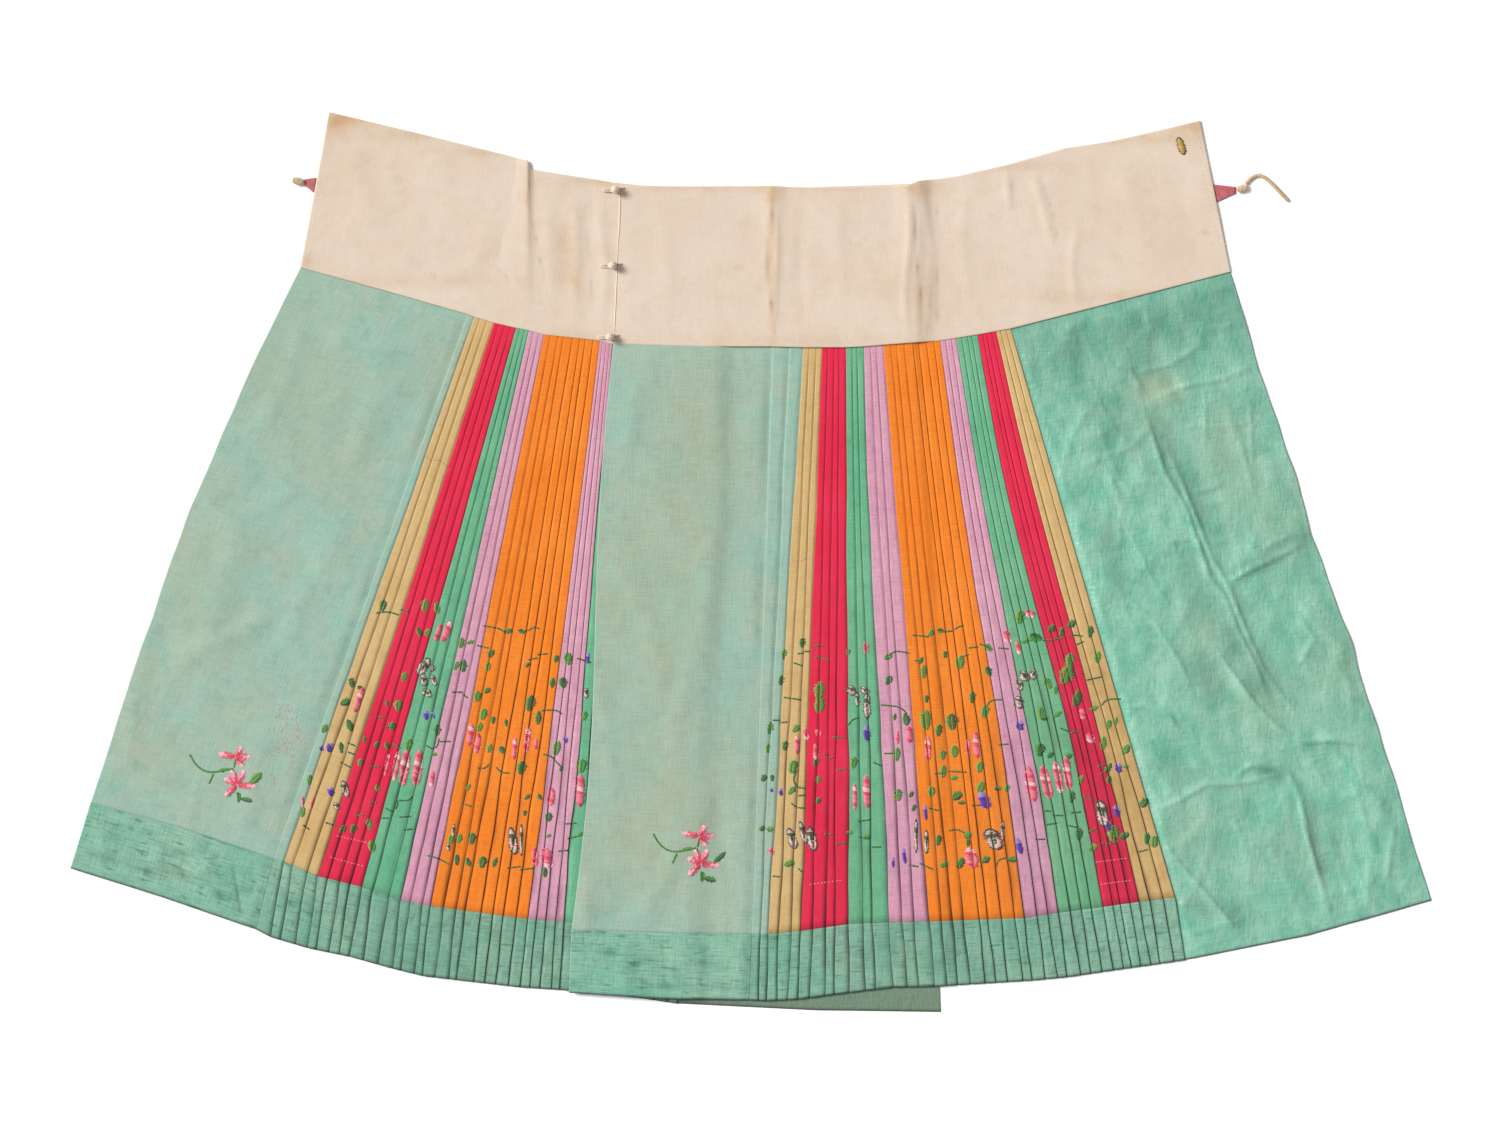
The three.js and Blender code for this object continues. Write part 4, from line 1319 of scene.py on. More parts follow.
LEFT_STATIONS = stations(
    ("outer edge", -496, 529), ("panel middle", -391, 504), ("panel pleat", -296, 480.5),
    ("tan_1", -288, 478.5), ("red_1", -275, 475), ("green_1", -268, 473, 0, 1.2),
    ("lilac_1", -262, 472, 0, 2.4), ("lilac_1", -259, 462, 0.3), ("orange", -244, 459.5),
    ("lilac_2", -178, 449), ("green_2", -160, 446), ("red_2", -129, 443), ("tan_2", -107, 442),
    ("covered panel", -88, 441), ("covered middle", 50, 440), ("covered edge", 192, 445),
)
RIGHT_STATIONS = stations(
    ("outer edge", -154, 442), ("panel middle", -60, 441.5), ("panel middle", 12, 442, 0.85),
    ("panel pleat", 28, 442, 0, 1.6), ("panel pleat", 42, 441, 0.4), ("tan_1", 62, 440.5), ("red_1", 84, 440),
    ("green_1", 112, 440), ("lilac_1", 135, 441), ("orange", 168, 441.5), ("orange", 184, 443, 0.35, 1.6),
    ("orange", 197, 448, 0.6, 1.6), ("orange", 212, 450, 0.85), ("lilac_2", 222, 451), ("green_2", 243, 454),
    ("red_2", 269, 460), ("tan_2", 290, 464.5), ("end panel", 306, 468.5), ("end panel", 368, 486.5, 0.5),
    ("end middle", 425, 495), ("end edge", 528, 519),
    lapped=RIGHT_LAP,
)

SATIN_FOLDS = crests(
    (8, 5, 457, 196, 469, 155, 487, 102, 510, 67, 528, 14, 540, -21, 557, -42, 572, -80, 593, -121, 612,
     -178),
    (7, 4.5, 481, 155, 510, 85, 528, 38, 543, 2, 560, -27, 581, -80, 601, -125, 628, -162, 645, -186),
    (8, 5, 540, -92, 563, -127, 593, -168, 622, -198, 649, -212, 681, -209, 728, -215),
    (9, 5, 557, -27, 587, -9, 622, 8, 662, 30),
    (8, 5, 557, -262, 587, -239, 616, -242, 634, -250, 646, -280, 655, -327, 669, -374, 681, -421),
    (7, 3.5, 469, -294, 504, -280, 534, -262, 587, -259, 628, -247),
    (7, 3.5, 440, -172, 463, -169, 487, -178, 504, -195),
    (9, 4.5, 480, -325, 510, -362, 546, -403, 575, -438), (8, 3, 410, 238, 446, 226, 463, 196),
    (8, 3, 452, 223, 493, 232, 528, 255), (8, 3, 469, 190, 516, 208, 557, 216, 604, 238),
    (5, 2, 516, 79, 557, 93), (5, 2.5, 598, 14, 636, 33), (7, 3, 693, -233, 714, -254),
    (6, 2.5, 690, -270, 742, -288), (8, 3, 757, -303, 746, -378), (6, 1.6, 500, 160, 546, 158, 600, 164),
    (6, 1.6, 534, 210, 533, 128), (7, 1.6, 586, 190, 590, 96),
    (7, 2.5, 440, -40, 474, -70, 505, -120, 520, -160), (7, 2.2, 420, 110, 436, 60, 431, 10),
    (7, 2.2, 640, -60, 662, -90, 640, -128),
) + folds(
    (560, 200, 600, 60, 8, 1.6, 4, True), (600, 60, 690, 30, 7, 1.3, -3, True),
    (400, 180, 455, 60, 7, 1.2, 3, True), (480, 240, 545, 130, 8, -1.3, 3),
    (620, 150, 660, -40, 8, 1.4, -5, True), (430, 60, 500, -60, 6, 1.1, 3, True),
    (640, -40, 720, -120, 9, 1.7, 4, True), (460, -90, 540, -110, 6, 1.1, -2, True),
    (470, -250, 560, -300, 7, 1.3, 3, True), (600, -100, 690, -150, 7, 1.2, -3, True),
    (700, -230, 740, -350, 8, 1.6, 3, True), (560, -270, 590, -400, 8, 1.5, -3, True),
    (520, -130, 600, -60, 7, 1.1, 3, True), (660, -290, 750, -300, 7, -1.2, 3),
    (520, -300, 640, -330, 6, 1, 5, True), (690, -60, 705, -200, 8, 1.5, -4, True),
    (590, 120, 650, 110, 6, 1, 0, True), (500, 140, 610, 170, 6, 1, -4, True),
    (470, 20, 560, 45, 6, 1, 3, True), (720, -250, 790, -375, 9, 1.4, 4),
)
PALE_FOLDS = folds(
    (-682, -330, -672, -400, 14, 2.2), (-500, 270, -410, 235, 16, 2, 4),
    (-690, -120, -560, -60, 14, 1.8, 6), (-600, 60, -640, -150, 20, 1.5, 5),
    (-520, 300, -590, 130, 12, 0.8, -5), (-420, 260, -470, 100, 14, 0.9, 6),
    (-650, 20, -520, 90, 10, 0.7, -4), (-480, 60, -560, -110, 13, 0.9, -6),
    (-720, -200, -580, -230, 10, 0.8, 5), (-700, -40, -730, -240, 12, 0.9, 3),
    (-470, 200, -540, 170, 7, 0.6, 0, True), (-560, -180, -600, -330, 13, 1, 5),
    (-645, -240, -665, -320, 8, 0.7, 0, True), (-540, 40, -505, -40, 8, -0.7),
)
CENTRE_FOLDS = folds(
    (-30, 235, -45, -120, 12, 1.4, 4), (-190, -350, -205, -500, 12, 1.6, -3),
    (-120, 240, -160, 60, 12, 0.8, 4), (-150, 20, -100, -180, 13, 0.8, -5),
    (-60, -60, -90, -260, 12, 0.8, 5), (-180, -120, -150, -300, 10, 0.7, 4),
    (-110, 200, -60, 150, 8, 0.6, 0, True), (-80, -300, -130, -430, 10, 0.9, -4),
    (-40, -250, -20, -400, 9, -0.8, 3), (-170, 120, -120, 90, 7, 0.5, 0, True),
)
LEFT_BAND_FOLDS = folds(
    (-775, -308, -600, -362, 2.6, -1, -4), (-790, -335, -640, -384, 2.2, -0.9, 3),
    (-720, -350, -586, -408, 2.6, -1, -3), (-700, -330, -690, -385, 9, 1.4), (-760, -300, -764, -362, 10, 1),
    (-640, -335, -628, -408, 9, 1), (-610, -350, -600, -420, 6, -0.8),
)
CENTRE_BAND_FOLDS = folds(
    (-205, -452, -90, -466, 2.4, -1, 3), (-210, -478, -20, -480, 2.4, -0.9, -3),
    (-150, -495, -10, -497, 2.4, -0.9, 3), (-150, -440, -146, -508, 9, 1), (-60, -440, -64, -508, 8, 0.9),
    (-105, -442, -100, -505, 6, -0.7),
)
COVERED_SHADE = folds((-300, -520, 440, -520, 70, 0.6))
SATIN_SHADE = folds(
    (180, 210, 700, 350, 52, 0.3), (470, 190, 540, 20, 16, 0.34), (548, -60, 620, -170, 17, 0.36),
    (565, -16, 670, 40, 10, 0.38), (590, -238, 630, -256, 10, 0.42), (650, -260, 672, -380, 9, 0.34),
    (420, 60, 436, -40, 15, 0.22), (500, -90, 560, -170, 18, 0.25), (372, 240, 452, 120, 26, 0.24),
    (500, 30, 560, -110, 22, 0.2), (470, -230, 560, -270, 16, 0.18), (470, -390, 610, -420, 14, 0.22),
)
LEFT_WAIST_FOLDS = folds(
    (-418, 473, -338, 373, 9, -1.5, 5), (-289, 396, -301, 349, 3.5, -0.7, 0, True),
    (-301, 349, -280, 326, 3.5, -0.7, 0, True), (-206, 440, -202, 285, 7, 0.9, 3),
    (-176, 440, -174, 280, 6, 0.8, -2), (-190, 430, -190, 300, 5, -0.7, 2),
    (-470, 500, -440, 380, 16, 0.7, 5), (-380, 480, -350, 440, 12, 0.6),
    (-500, 400, -380, 350, 15, 0.6, -4), (-240, 440, -236, 300, 8, 0.7, -2),
    (-340, 330, -300, 420, 12, 0.5, 3),
)
RIGHT_WAIST_FOLDS = folds(
    (27, 440, 29, 257, 3.2, 1.3, 1), (22, 440, 24, 257, 3, -0.8, 1), (185, 440, 184, 262, 3.4, 1.1, 1),
    (203, 446, 212, 264, 4, 1, -2), (194, 440, 198, 262, 3.4, -0.9), (299, 461, 305, 414, 4, 0.9),
    (334, 461, 358, 367, 5, 1, 3), (381, 402, 381, 302, 5, 0.8, 2), (-100, 430, -95, 270, 10, 0.5, 4),
    (100, 430, 104, 270, 9, 0.5, -3), (440, 480, 470, 350, 14, 0.7, 4), (500, 480, 520, 370, 12, -0.6, 3),
    (250, 440, 256, 290, 8, 0.6, 2), (60, 430, 62, 280, 6, -0.5, 2),
)

# Creases painted darker, as the shade in the troughs and beside the ridges of the waistbands' folds: their
# height is how dark they are.
LEFT_WAIST_CREASE_SHADE = folds(
    (-261, 472, -261, 408, 1.3, 0.5, 0, True), (-261, 408, -242, 333, 1.2, 0.3, 0, True),
    (-289, 396, -301, 349, 1, 0.25, 0, True), (-301, 349, -280, 326, 1, 0.25, 0, True),
    (-190, 430, -190, 300, 1.2, 0.22, 0, True),
)
RIGHT_WAIST_CREASE_SHADE = folds(
    (23, 441, 25, 256, 1.5, 0.55, 1, True), (194, 443, 198, 260, 1.3, 0.45, 0, True),
    (216, 448, 222, 262, 1.3, 0.3, 0, True), (303, 461, 309, 414, 1.1, 0.25, 0, True),
    (340, 461, 364, 367, 1.1, 0.25, 0, True),
)
LEFT_WAIST_SOILS = soils(
    (-492, 520, 26, 18, 0.6), (-450, 520, 50, 9, 0.5), (-380, 503, 70, 6, 0.35), (-216, 355, 12, 40, 0.34),
    (-224, 380, 6, 12, 0.3), (-521, 350, 14, 10, 0.4), (-300, 482, 60, 6, 0.3), (-170, 448, 60, 5, 0.4),
    (-470, 455, 60, 50, 0.1), (-262, 440, 9, 40, 0.3), (-400, 330, 120, 8, 0.22), (-200, 266, 90, 7, 0.2),
    (-374, 337, 3.2, 3.2, 0.7), (-206, 330, 5, 22, 0.3),
)
RIGHT_WAIST_SOILS = soils(
    (24, 350, 4, 110, 0.5), (27, 436, 12, 12, 0.5), (520, 512, 26, 14, 0.6), (200, 440, 20, 14, 0.5),
    (-60, 441, 90, 5, 0.3), (110, 441, 60, 5, 0.3), (300, 466, 60, 6, 0.35), (440, 497, 80, 7, 0.35),
    (480, 400, 60, 60, 0.1), (60, 260, 180, 8, 0.2), (430, 312, 110, 8, 0.25), (205, 300, 14, 40, 0.25),
    (534, 387, 3.2, 3.2, 0.6), (-15, 346, 8, 5, 0.3), (150, 330, 40, 30, 0.12),
)
PALE_SOILS = soils(
    (-560, 220, 60, 70, 0.35), (-480, 150, 50, 90, 0.3), (-640, -20, 70, 90, 0.3), (-600, -230, 60, 60, 0.25),
    (-380, 200, 30, 80, 0.3), (-700, -240, 40, 50, 0.3), (-60, 150, 60, 110, 0.5), (-120, -60, 80, 130, 0.5),
    (-60, -300, 70, 110, 0.45), (-200, -380, 16, 50, 0.35), (-140, -330, 50, 90, 0.35),
)
STRIP_SOILS = soils((440, -250, 70, 260, 0.45), (330, -260, 60, 240, 0.35), (120, -330, 60, 90, 0.15))
BAND_SOILS = soils((-330, -440, 260, 160, 0.45), (250, -460, 260, 160, 0.38))
COVERED_SOILS = soils((60, -528, 220, 34, 0.95), (200, -500, 40, 60, 0.8), (-70, -520, 40, 40, 0.6))
SATIN_SOILS = soils(
    (470, 180, 40, 70, 0.3), (620, 60, 50, 60, 0.25), (530, -90, 40, 60, 0.3), (700, -120, 50, 70, 0.25),
    (520, -320, 40, 60, 0.25), (640, -340, 60, 40, 0.2), (560, 130, 34, 60, 0.4), (600, -170, 40, 50, 0.3),
    (480, 205, 30, 16, 0.5),
)


# Places of small motifs in millimetres.
# Leaves: x, y, length, turn. Patches: x, y, height, width, lean to the right.
LEAVES = (
    (-470, -142, 11, 100), (-459, -149, 9, 150), (-477, -165, 12, 20), (-472, -192, 15, 110),
    (-501, -196, 11, 60), (-482, -218, 13, 95), (-519, -256, 12, 80), (-527, -294, 12, 80),
    (-433, -51, 14, 80), (-383, -51, 15, 80), (-369, -54, 13, 100), (-390, -82, 12, 110),
    (-380, -83, 9, 60), (-341, -95, 12, 80), (-330, -94, 9, 20), (-347, -122, 11, 70),
    (-338, -122, 15, 85), (-286, -81, 11, 20), (-270, -82, 9, 160), (-305, -108, 11, 60),
    (-309, -123, 11, 80), (-263, -121, 7, 60), (-408, -135, 12, 70), (-415, -169, 13, 85),
    (-428, -166, 7, 90), (-421, -193, 11, 80), (-440, -215, 8, 60), (-428, -216, 9, 100),
    (-454, -209, 8, 80), (-459, -236, 9, 80), (-439, -266, 8, 100), (-449, -308, 13, 100),
    (-445, -334, 14, 95), (-480, -314, 11, 60), (-467, -314, 11, 70), (-402, -215, 15, 80),
    (-369, -198, 14, 85), (-372, -226, 7, 0), (-310, -151, 9, 45), (-322, -158, 13, 85),
    (-315, -179, 14, 80), (-319, -194, 11, 75), (-303, -186, 9, 80), (-288, -189, 9, 95),
    (-260, -166, 19, 80), (-250, -183, 16, 85), (-307, -219, 11, 70), (-293, -221, 9, 110),
    (-270, -242, 16, 80), (-332, -265, 9, 60), (-263, -276, 9, 45), (-248, -276, 8, 120),
    (-266, -295, 7, 80), (-353, -326, 12, 80), (-343, -325, 12, 75), (-328, -325, 14, 80),
    (-346, -350, 13, 90), (-332, -353, 11, 110), (-316, -353, 14, 80), (-301, -353, 12, 70),
    (-229, -114, 9, 80), (-215, -114, 15, 100), (-233, -142, 12, 80), (-221, -142, 13, 100),
    (-228, -219, 18, 75), (-223, -243, 7, 60), (-238, -300, 11, 80), (-238, -322, 7, 20),
    (-242, -365, 11, 90), (-196, -181, 11, 80), (-199, -240, 16, 85), (-201, -320, 9, 40),
    (60, -95, 11, 90), (39, -108, 13, 80), (35, -139, 12, 80), (22, -195, 15, 80), (53, -196, 11, 45),
    (20, -219, 11, 85), (40, -216, 11, 80), (49, -241, 16, 80), (48, -268, 13, 50), (15, -254, 9, 60),
    (25, -254, 8, 90), (13, -313, 8, 45), (22, -314, 8, 0), (45, -354, 13, 20), (81, -151, 21, 80),
    (80, -168, 19, 85), (76, -235, 11, 80), (79, -256, 9, 80), (79, -281, 8, 60), (114, -106, 7, 80),
    (121, -236, 14, 80), (135, -323, 8, 20), (116, -318, 8, 0), (161, -111, 11, 30), (162, -139, 12, 60),
    (182, -185, 15, 100), (169, -182, 8, 80), (172, -226, 16, 85), (173, -274, 14, 90),
    (188, -273, 8, 60), (191, -289, 8, 70), (212, -83, 11, 45), (223, -81, 9, 170), (203, -129, 16, 85),
    (200, -116, 9, 60), (228, -109, 8, 90), (246, -118, 16, 80), (279, -101, 11, 140),
    (279, -129, 12, 120), (260, -159, 14, 85), (206, -161, 9, 90), (236, -188, 19, 95),
    (206, -186, 24, 88), (221, -198, 14, 80), (274, -176, 15, 80), (225, -227, 11, 90),
    (239, -223, 14, 95), (269, -241, 14, 80), (226, -246, 15, 85), (239, -254, 9, 10),
    (270, -265, 14, 70), (290, -266, 8, 0), (301, -266, 9, 60), (212, -270, 12, 85), (242, -275, 14, 30),
    (248, -283, 9, 0), (255, -321, 11, 20), (255, -330, 9, 90), (220, -327, 13, 85), (227, -355, 11, 30),
    (246, -354, 14, 60), (276, -350, 12, 30), (307, -350, 11, 0), (316, -65, 16, 80), (335, -88, 15, 160),
    (323, -93, 11, 20), (353, -78, 11, 50), (366, -82, 11, 70), (377, -73, 12, 40), (399, -82, 14, 85),
    (408, -112, 14, 80), (375, -116, 18, 80), (370, -132, 24, 70), (383, -160, 20, 75),
    (349, -143, 14, 120), (358, -151, 9, 90), (341, -178, 14, 95), (345, -183, 9, 0), (360, -179, 12, 30),
    (340, -221, 16, 80), (352, -227, 9, 45), (373, -229, 11, 30), (377, -276, 14, 85),
    (386, -320, 15, 85), (388, -256, 12, 60), (402, -336, 11, 30), (420, -191, 11, 80),
    (429, -187, 9, 80), (414, -213, 16, 85), (403, -172, 11, 20), (440, -220, 13, 60),
    (420, -242, 13, 60), (441, -240, 7, 0), (421, -256, 9, 80), (462, -283, 13, 50), (439, -322, 12, 30),
    (466, -325, 14, 80), (426, -319, 19, 85), (474, -329, 14, 85),
)
VINES = (
    (-315, -75, -295, -78, -292, -82, -281, -82), (-270, -82, -260, -80, -256, -76, -250, -78),
    (-323, -98, -309, -101), (-302, -109, -309, -107), (-262, -115, -252, -113), (-252, -109, -240, -108),
    (-441, -60, -427, -58, -415, -62), (-412, -56, -403, -58), (-352, -153, -340, -153),
    (-340, -155, -334, -159), (-382, -215, -376, -220, -369, -218, -367, -208), (-368, -211, -354, -211),
    (-422, -213, -413, -218), (-442, -183, -432, -183), (-432, -195, -421, -194),
    (-447, -240, -437, -241), (-449, -283, -441, -283), (-466, -298, -456, -298),
    (-501, -306, -489, -310), (-483, -235, -472, -241), (-475, -212, -466, -216),
    (-475, -223, -467, -226), (-527, -309, -520, -314), (-430, -289, -422, -294, -415, -287, -416, -279),
    (-415, -280, -403, -281, -399, -276), (-435, -301, -427, -301), (-414, -300, -401, -299),
    (-409, -315, -399, -314), (-322, -242, -312, -243, -309, -238), (-300, -241, -293, -248, -285, -248),
    (-341, -283, -330, -287), (-381, -345, -368, -348, -356, -355), (-287, -360, -272, -358),
    (-272, -362, -256, -360), (-205, -113, -189, -118), (-247, -175, -239, -174, -229, -174, -223, -178),
    (-245, -226, -235, -228, -229, -235, -222, -242), (-219, -308, -206, -307), (-216, -325, -206, -323),
    (-227, -340, -216, -339), (189, -86, 203, -87, 208, -88), (227, -82, 236, -81),
    (239, -80, 243, -76, 249, -75), (255, -101, 266, -100), (268, -96, 274, -98, 280, -102),
    (192, -116, 201, -116), (246, -112, 255, -109), (161, -111, 168, -105, 176, -105, 185, -107),
    (152, -168, 166, -169, 176, -171, 183, -178), (156, -225, 167, -225), (143, -235, 154, -240),
    (290, -101, 302, -102), (274, -178, 278, -167, 283, -162, 294, -162), (232, -246, 252, -247),
    (215, -249, 226, -248), (290, -215, 302, -214), (259, -286, 270, -286), (208, -289, 220, -292),
    (232, -316, 242, -314, 250, -318), (185, -356, 196, -358), (198, -354, 213, -361),
    (289, -358, 290, -350, 299, -348), (54, -108, 61, -107), (61, -105, 72, -105), (49, -118, 60, -122),
    (38, -159, 59, -162), (25, -186, 33, -186), (33, -189, 42, -188),
    (53, -245, 49, -256, 54, -265, 64, -266), (55, -275, 62, -274), (47, -283, 53, -289, 64, -289),
    (25, -369, 33, -370), (55, -360, 61, -365), (74, -98, 85, -99), (75, -112, 83, -113, 92, -116),
    (95, -206, 109, -207), (85, -226, 91, -226), (91, -232, 96, -230), (100, -246, 111, -243),
    (86, -320, 95, -320), (99, -332, 111, -330), (114, -192, 119, -185, 126, -183),
    (125, -305, 139, -303), (126, -323, 138, -325), (140, -335, 152, -335), (342, -292, 352, -293),
    (354, -298, 366, -298), (346, -309, 359, -307), (363, -195, 375, -200), (375, -295, 387, -294),
    (370, -309, 383, -312), (334, -326, 345, -326), (373, -85, 389, -87), (381, -98, 390, -94),
    (394, -139, 412, -135), (412, -169, 416, -163, 423, -161, 434, -161), (375, -201, 385, -199),
    (390, -276, 401, -279), (407, -240, 414, -239), (410, -249, 417, -247), (396, -318, 407, -313),
    (412, -330, 422, -332, 432, -328), (455, -341, 466, -338), (342, -92, 354, -92), (354, -92, 367, -89),
)
PINK_PATCHES = (
    (-368, -83, 21, 5, 20), (-358, -82, 24, 8, 25), (-417, -240, 35, 6, 10), (-407, -242, 42, 9, 8),
    (-392, -242, 42, 9, 8), (-428, -239, 26, 4, 12), (-330, -203, 26, 6, 8), (-322, -213, 24, 7, 8),
    (-278, -219, 26, 5, 5), (-263, -209, 31, 6, 8), (-253, -214, 12, 4, 5), (-375, -255, 19, 5, 8),
    (-235, -276, 21, 7, 8), (-240, -348, 24, 11, -8), (-254, -347, 21, 6, 0), (-201, -269, 38, 9, 2),
    (-461, -162, 31, 6, 20), (-527, -283, 14, 2, 0), (-516, -283, 12, 2, 15), (135, -101, 14, 5, 0),
    (65, -203, 12, 6, 0), (54, -215, 21, 5, 0), (79, -201, 8, 6, 0), (76, -223, 19, 5, 0),
    (122, -276, 31, 5, 0), (136, -270, 38, 8, -3), (172, -206, 16, 4, 0), (186, -203, 19, 7, 0),
    (208, -219, 28, 6, 0), (255, -218, 19, 4, 0), (265, -215, 31, 7, -3), (259, -348, 24, 12, -8),
    (301, -88, 14, 8, -10), (314, -101, 16, 5, -12), (329, -261, 42, 9, -10), (347, -259, 40, 9, -12),
    (361, -253, 38, 7, -10), (372, -248, 40, 7, -6), (24, -340, 9, 5, 0), (328, -61, 9, 9, 0),
    (390, -179, 12, 8, 0), (399, -207, 11, 9, 0),
)
PURPLE_PATCHES = (
    (-495, -218, 11, 9, 30), (-505, -219, 7, 5, 0), (-382, -180, 11, 7, 0), (-374, -180, 7, 5, 0),
    (-192, -113, 13, 5, 5), (-218, -209, 8, 5, 0), (-494, -270, 11, 8, 0), (136, -201, 18, 9, 0),
    (35, -270, 9, 6, 0), (24, -268, 5, 4, 0), (274, -280, 21, 13, -20), (205, -294, 19, 5, -5),
    (180, -345, 19, 5, -8), (167, -353, 12, 4, 0), (315, -334, 19, 8, -15), (316, -192, 11, 9, 0),
    (432, -242, 11, 8, 0), (430, -293, 13, 9, 0), (420, -310, 12, 8, 0),
)
WINGS = (
    (-385, -123, 24, 13, 40), (-374, -125, 7, 7, 80), (-385, -139, 14, 11, 0), (-373, -139, 14, 7, -20),
    (-381, -154, 9, 14, 0), (-477, -267, 21, 9, -15), (-487, -287, 9, 7, -15), (-350, -316, 16, 5, 5),
    (-356, -335, 9, 6, 0), (-280, -328, 33, 11, -8), (-270, -327, 38, 5, 0), (-194, -154, 12, 6, 0),
    (118, -151, 12, 13, 0), (133, -151, 9, 11, 0), (136, -169, 31, 9, 0), (125, -162, 16, 6, 0),
    (48, -325, 26, 11, -15), (61, -318, 28, 7, -15), (71, -325, 31, 12, -12), (194, -322, 40, 5, 0),
    (206, -329, 28, 7, 0), (285, -326, 28, 19, -25), (296, -316, 24, 5, 0), (321, -134, 12, 14, 0),
    (332, -132, 11, 11, 30), (316, -145, 12, 9, 0), (315, -165, 15, 11, 0), (413, -296, 33, 15, -8),
)
SPRIGS = ((-604, -262), (-59, -355))
TACKS = (((-487, -322), (-446, -331)), ((-495, -347), (-454, -358)), ((69, -379), (108, -374)),
         ((405, -353), (443, -348)), ((411, -379), (448, -374)))
LOOSE_THREADS = (((-384, 126), (-376, 118), (-366, 121), (-354, 108)), ((46, 3), (58, 0), (66, 6), (75, 2)))
EDGE_STITCHES = (((-497, 510), (-518, 365)), ((-505, 505), (-524, 372)), ((520, 505), (553, 358)),
                 ((526, 500), (557, 372)))
# A thin brown line of stitches along the right waistband's left edge, which paints the shadow in the gap
# there.
LAP_SHADOW_LINE = ((-153.2, 432), (-153.6, 400), (-156.6, 366), (-157.4, 330), (-159.2, 290), (-160.6, 264))
MARK = (505.7, 489.0)
SPECKLED, SPECKLES = ((-548, -210), (16, 52)), 90

# How much the padding widens a motif beyond the tables, and how wide a blossom's bands of thread are.
LEAF_GROWTH, BLOSSOM_GROWTH, BLOSSOM_BAND_MM = 1.04, 1.3, 4.5


# Finishes in use.

# Patterns finer than a millimetre are drawn at about 1.3 mm, because they would be lost in the frame.
# Each cloth's fifth colour is the painted shade of its folds and creases.
FINISHES: dict[Cloth, WovenCloth] = {
    Cloth.PALE: WovenCloth(
        "faded_pale_silk", "#8CB2A2", "#9FAE9A", "#78A293", "#A2A287", "#34594C", cloud=0.85,
        cloud_mm=75.0, streak=0.4, slub=0.10, slub_mm=1.7, sheen=0.2, roughness=0.72,
    ),
    Cloth.TAN: WovenCloth(
        "tan_silk_strip", "#C4A26A", "#D0B481", "#A8834A", "#A07C48", "#4E3216", cloud=0.5, slub=0.10,
    ),
    Cloth.RED: WovenCloth(
        "red_silk_strip", "#D41A40", "#DA3652", "#B21836", "#9E2A40", "#420818", cloud=0.4, slub=0.10,
    ),
    Cloth.GREEN: WovenCloth(
        "green_silk_strip", "#5CA37C", "#7CB28E", "#3C8A63", "#6E8E64", "#0E2A24", cloud=0.5, slub=0.14,
    ),
    Cloth.LILAC: WovenCloth(
        "lilac_silk_strip", "#C78CA2", "#D2A4B2", "#A66E8C", "#A0768A", "#4C2440", cloud=0.45, slub=0.16,
    ),
    Cloth.ORANGE: WovenCloth(
        "orange_silk_strip", "#E27612", "#E88834", "#D06A16", "#B07238", "#34180A", cloud=0.4, slub=0.15,
    ),
    Cloth.SATIN: CrumpledSatin(
        "crumpled_satin_lining", "#67AB92", "#9CC4AE", "#47917A", "#9CA488", "#2B5C4A", cloud=0.52,
        streak=0.55, slub=0.06, slub_mm=1.6, roughness=0.42, sheen=0.15, specular=0.6, weave=0.6,
        relief_m=0.0009, cloud_mm=34.0, crumple_mm=26.0, streak_scale=(52.0, 15.0),
    ),
    Cloth.BAND: WovenCloth(
        "hem_facing_silk", "#69A68E", "#95B59E", "#3E8069", "#64846C", "#12342A", cloud=0.7, streak=0.6,
        slub=0.22, slub_mm=1.7, roughness=0.6, streak_scale=(18.0, 380.0), crinkle_shade=0.5,
    ),
    Cloth.COTTON: WovenCloth(
        "waistband_cotton", "#D3C0AD", "#DBCCBB", "#CAB69F", "#BC9466", "#6E5034", cloud=0.6, streak=0.2,
        slub=0.045, weave=0.16, roughness=0.95, sheen=0.05, specular=0.15,
    ),
    Cloth.TAB: WovenCloth(
        "tab_cotton", "#B0565C", "#C27A7A", "#9A3C48", "#8E4046", "#521420", slub=0.14, cloud_mm=12,
    ),
}


class Wardrobe:
    """Makes each finish once, and hands it out."""

    def __init__(self) -> None:
        """Starts with no finish made."""
        self.made: dict[str, bpy.types.Material] = {}

    def finish(self, kind: Finish) -> bpy.types.Material:
        """The material of a finish."""
        if kind.name not in self.made:
            self.made[kind.name] = kind.material()
        return self.made[kind.name]

    def dress(self, piece: bpy.types.Object, cloth: Cloth, stands_for: str) -> None:
        """Gives a piece its cloth's material, hangs it under the root body, and hides the solid that it stands
        for.
        """
        piece.data.materials.clear()
        piece.data.materials.append(self.finish(FINISHES[cloth]))
        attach(piece, "root")
        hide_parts(stands_for)


# Pieces of cloth.

STRIP_ROWS = np.concatenate([[-0.006, 0.0, 0.006, 0.016], np.linspace(0.03, 1.0, 54)])
BAND_ROWS = np.concatenate([[0.9965, 1.0, 1.04], np.linspace(1.1, 1.9, 9), [1.945, 1.972, 2.0]])
PANEL_ROWS = np.concatenate([[-0.006, 0.0], np.linspace(0.008, 1.0, 132)])
HEM_ROWS = [1.972, 2.0]
LINED_ROWS = np.concatenate(
    [[-0.006, 0.0], np.linspace(0.006, 1.0, 262), np.linspace(1.04, 1.94, 28), HEM_ROWS])
COVERED_ROWS = np.concatenate(
    [[-0.006, 0.0], np.linspace(0.02, 1.0, 60), np.linspace(1.08, 1.94, 12), HEM_ROWS])


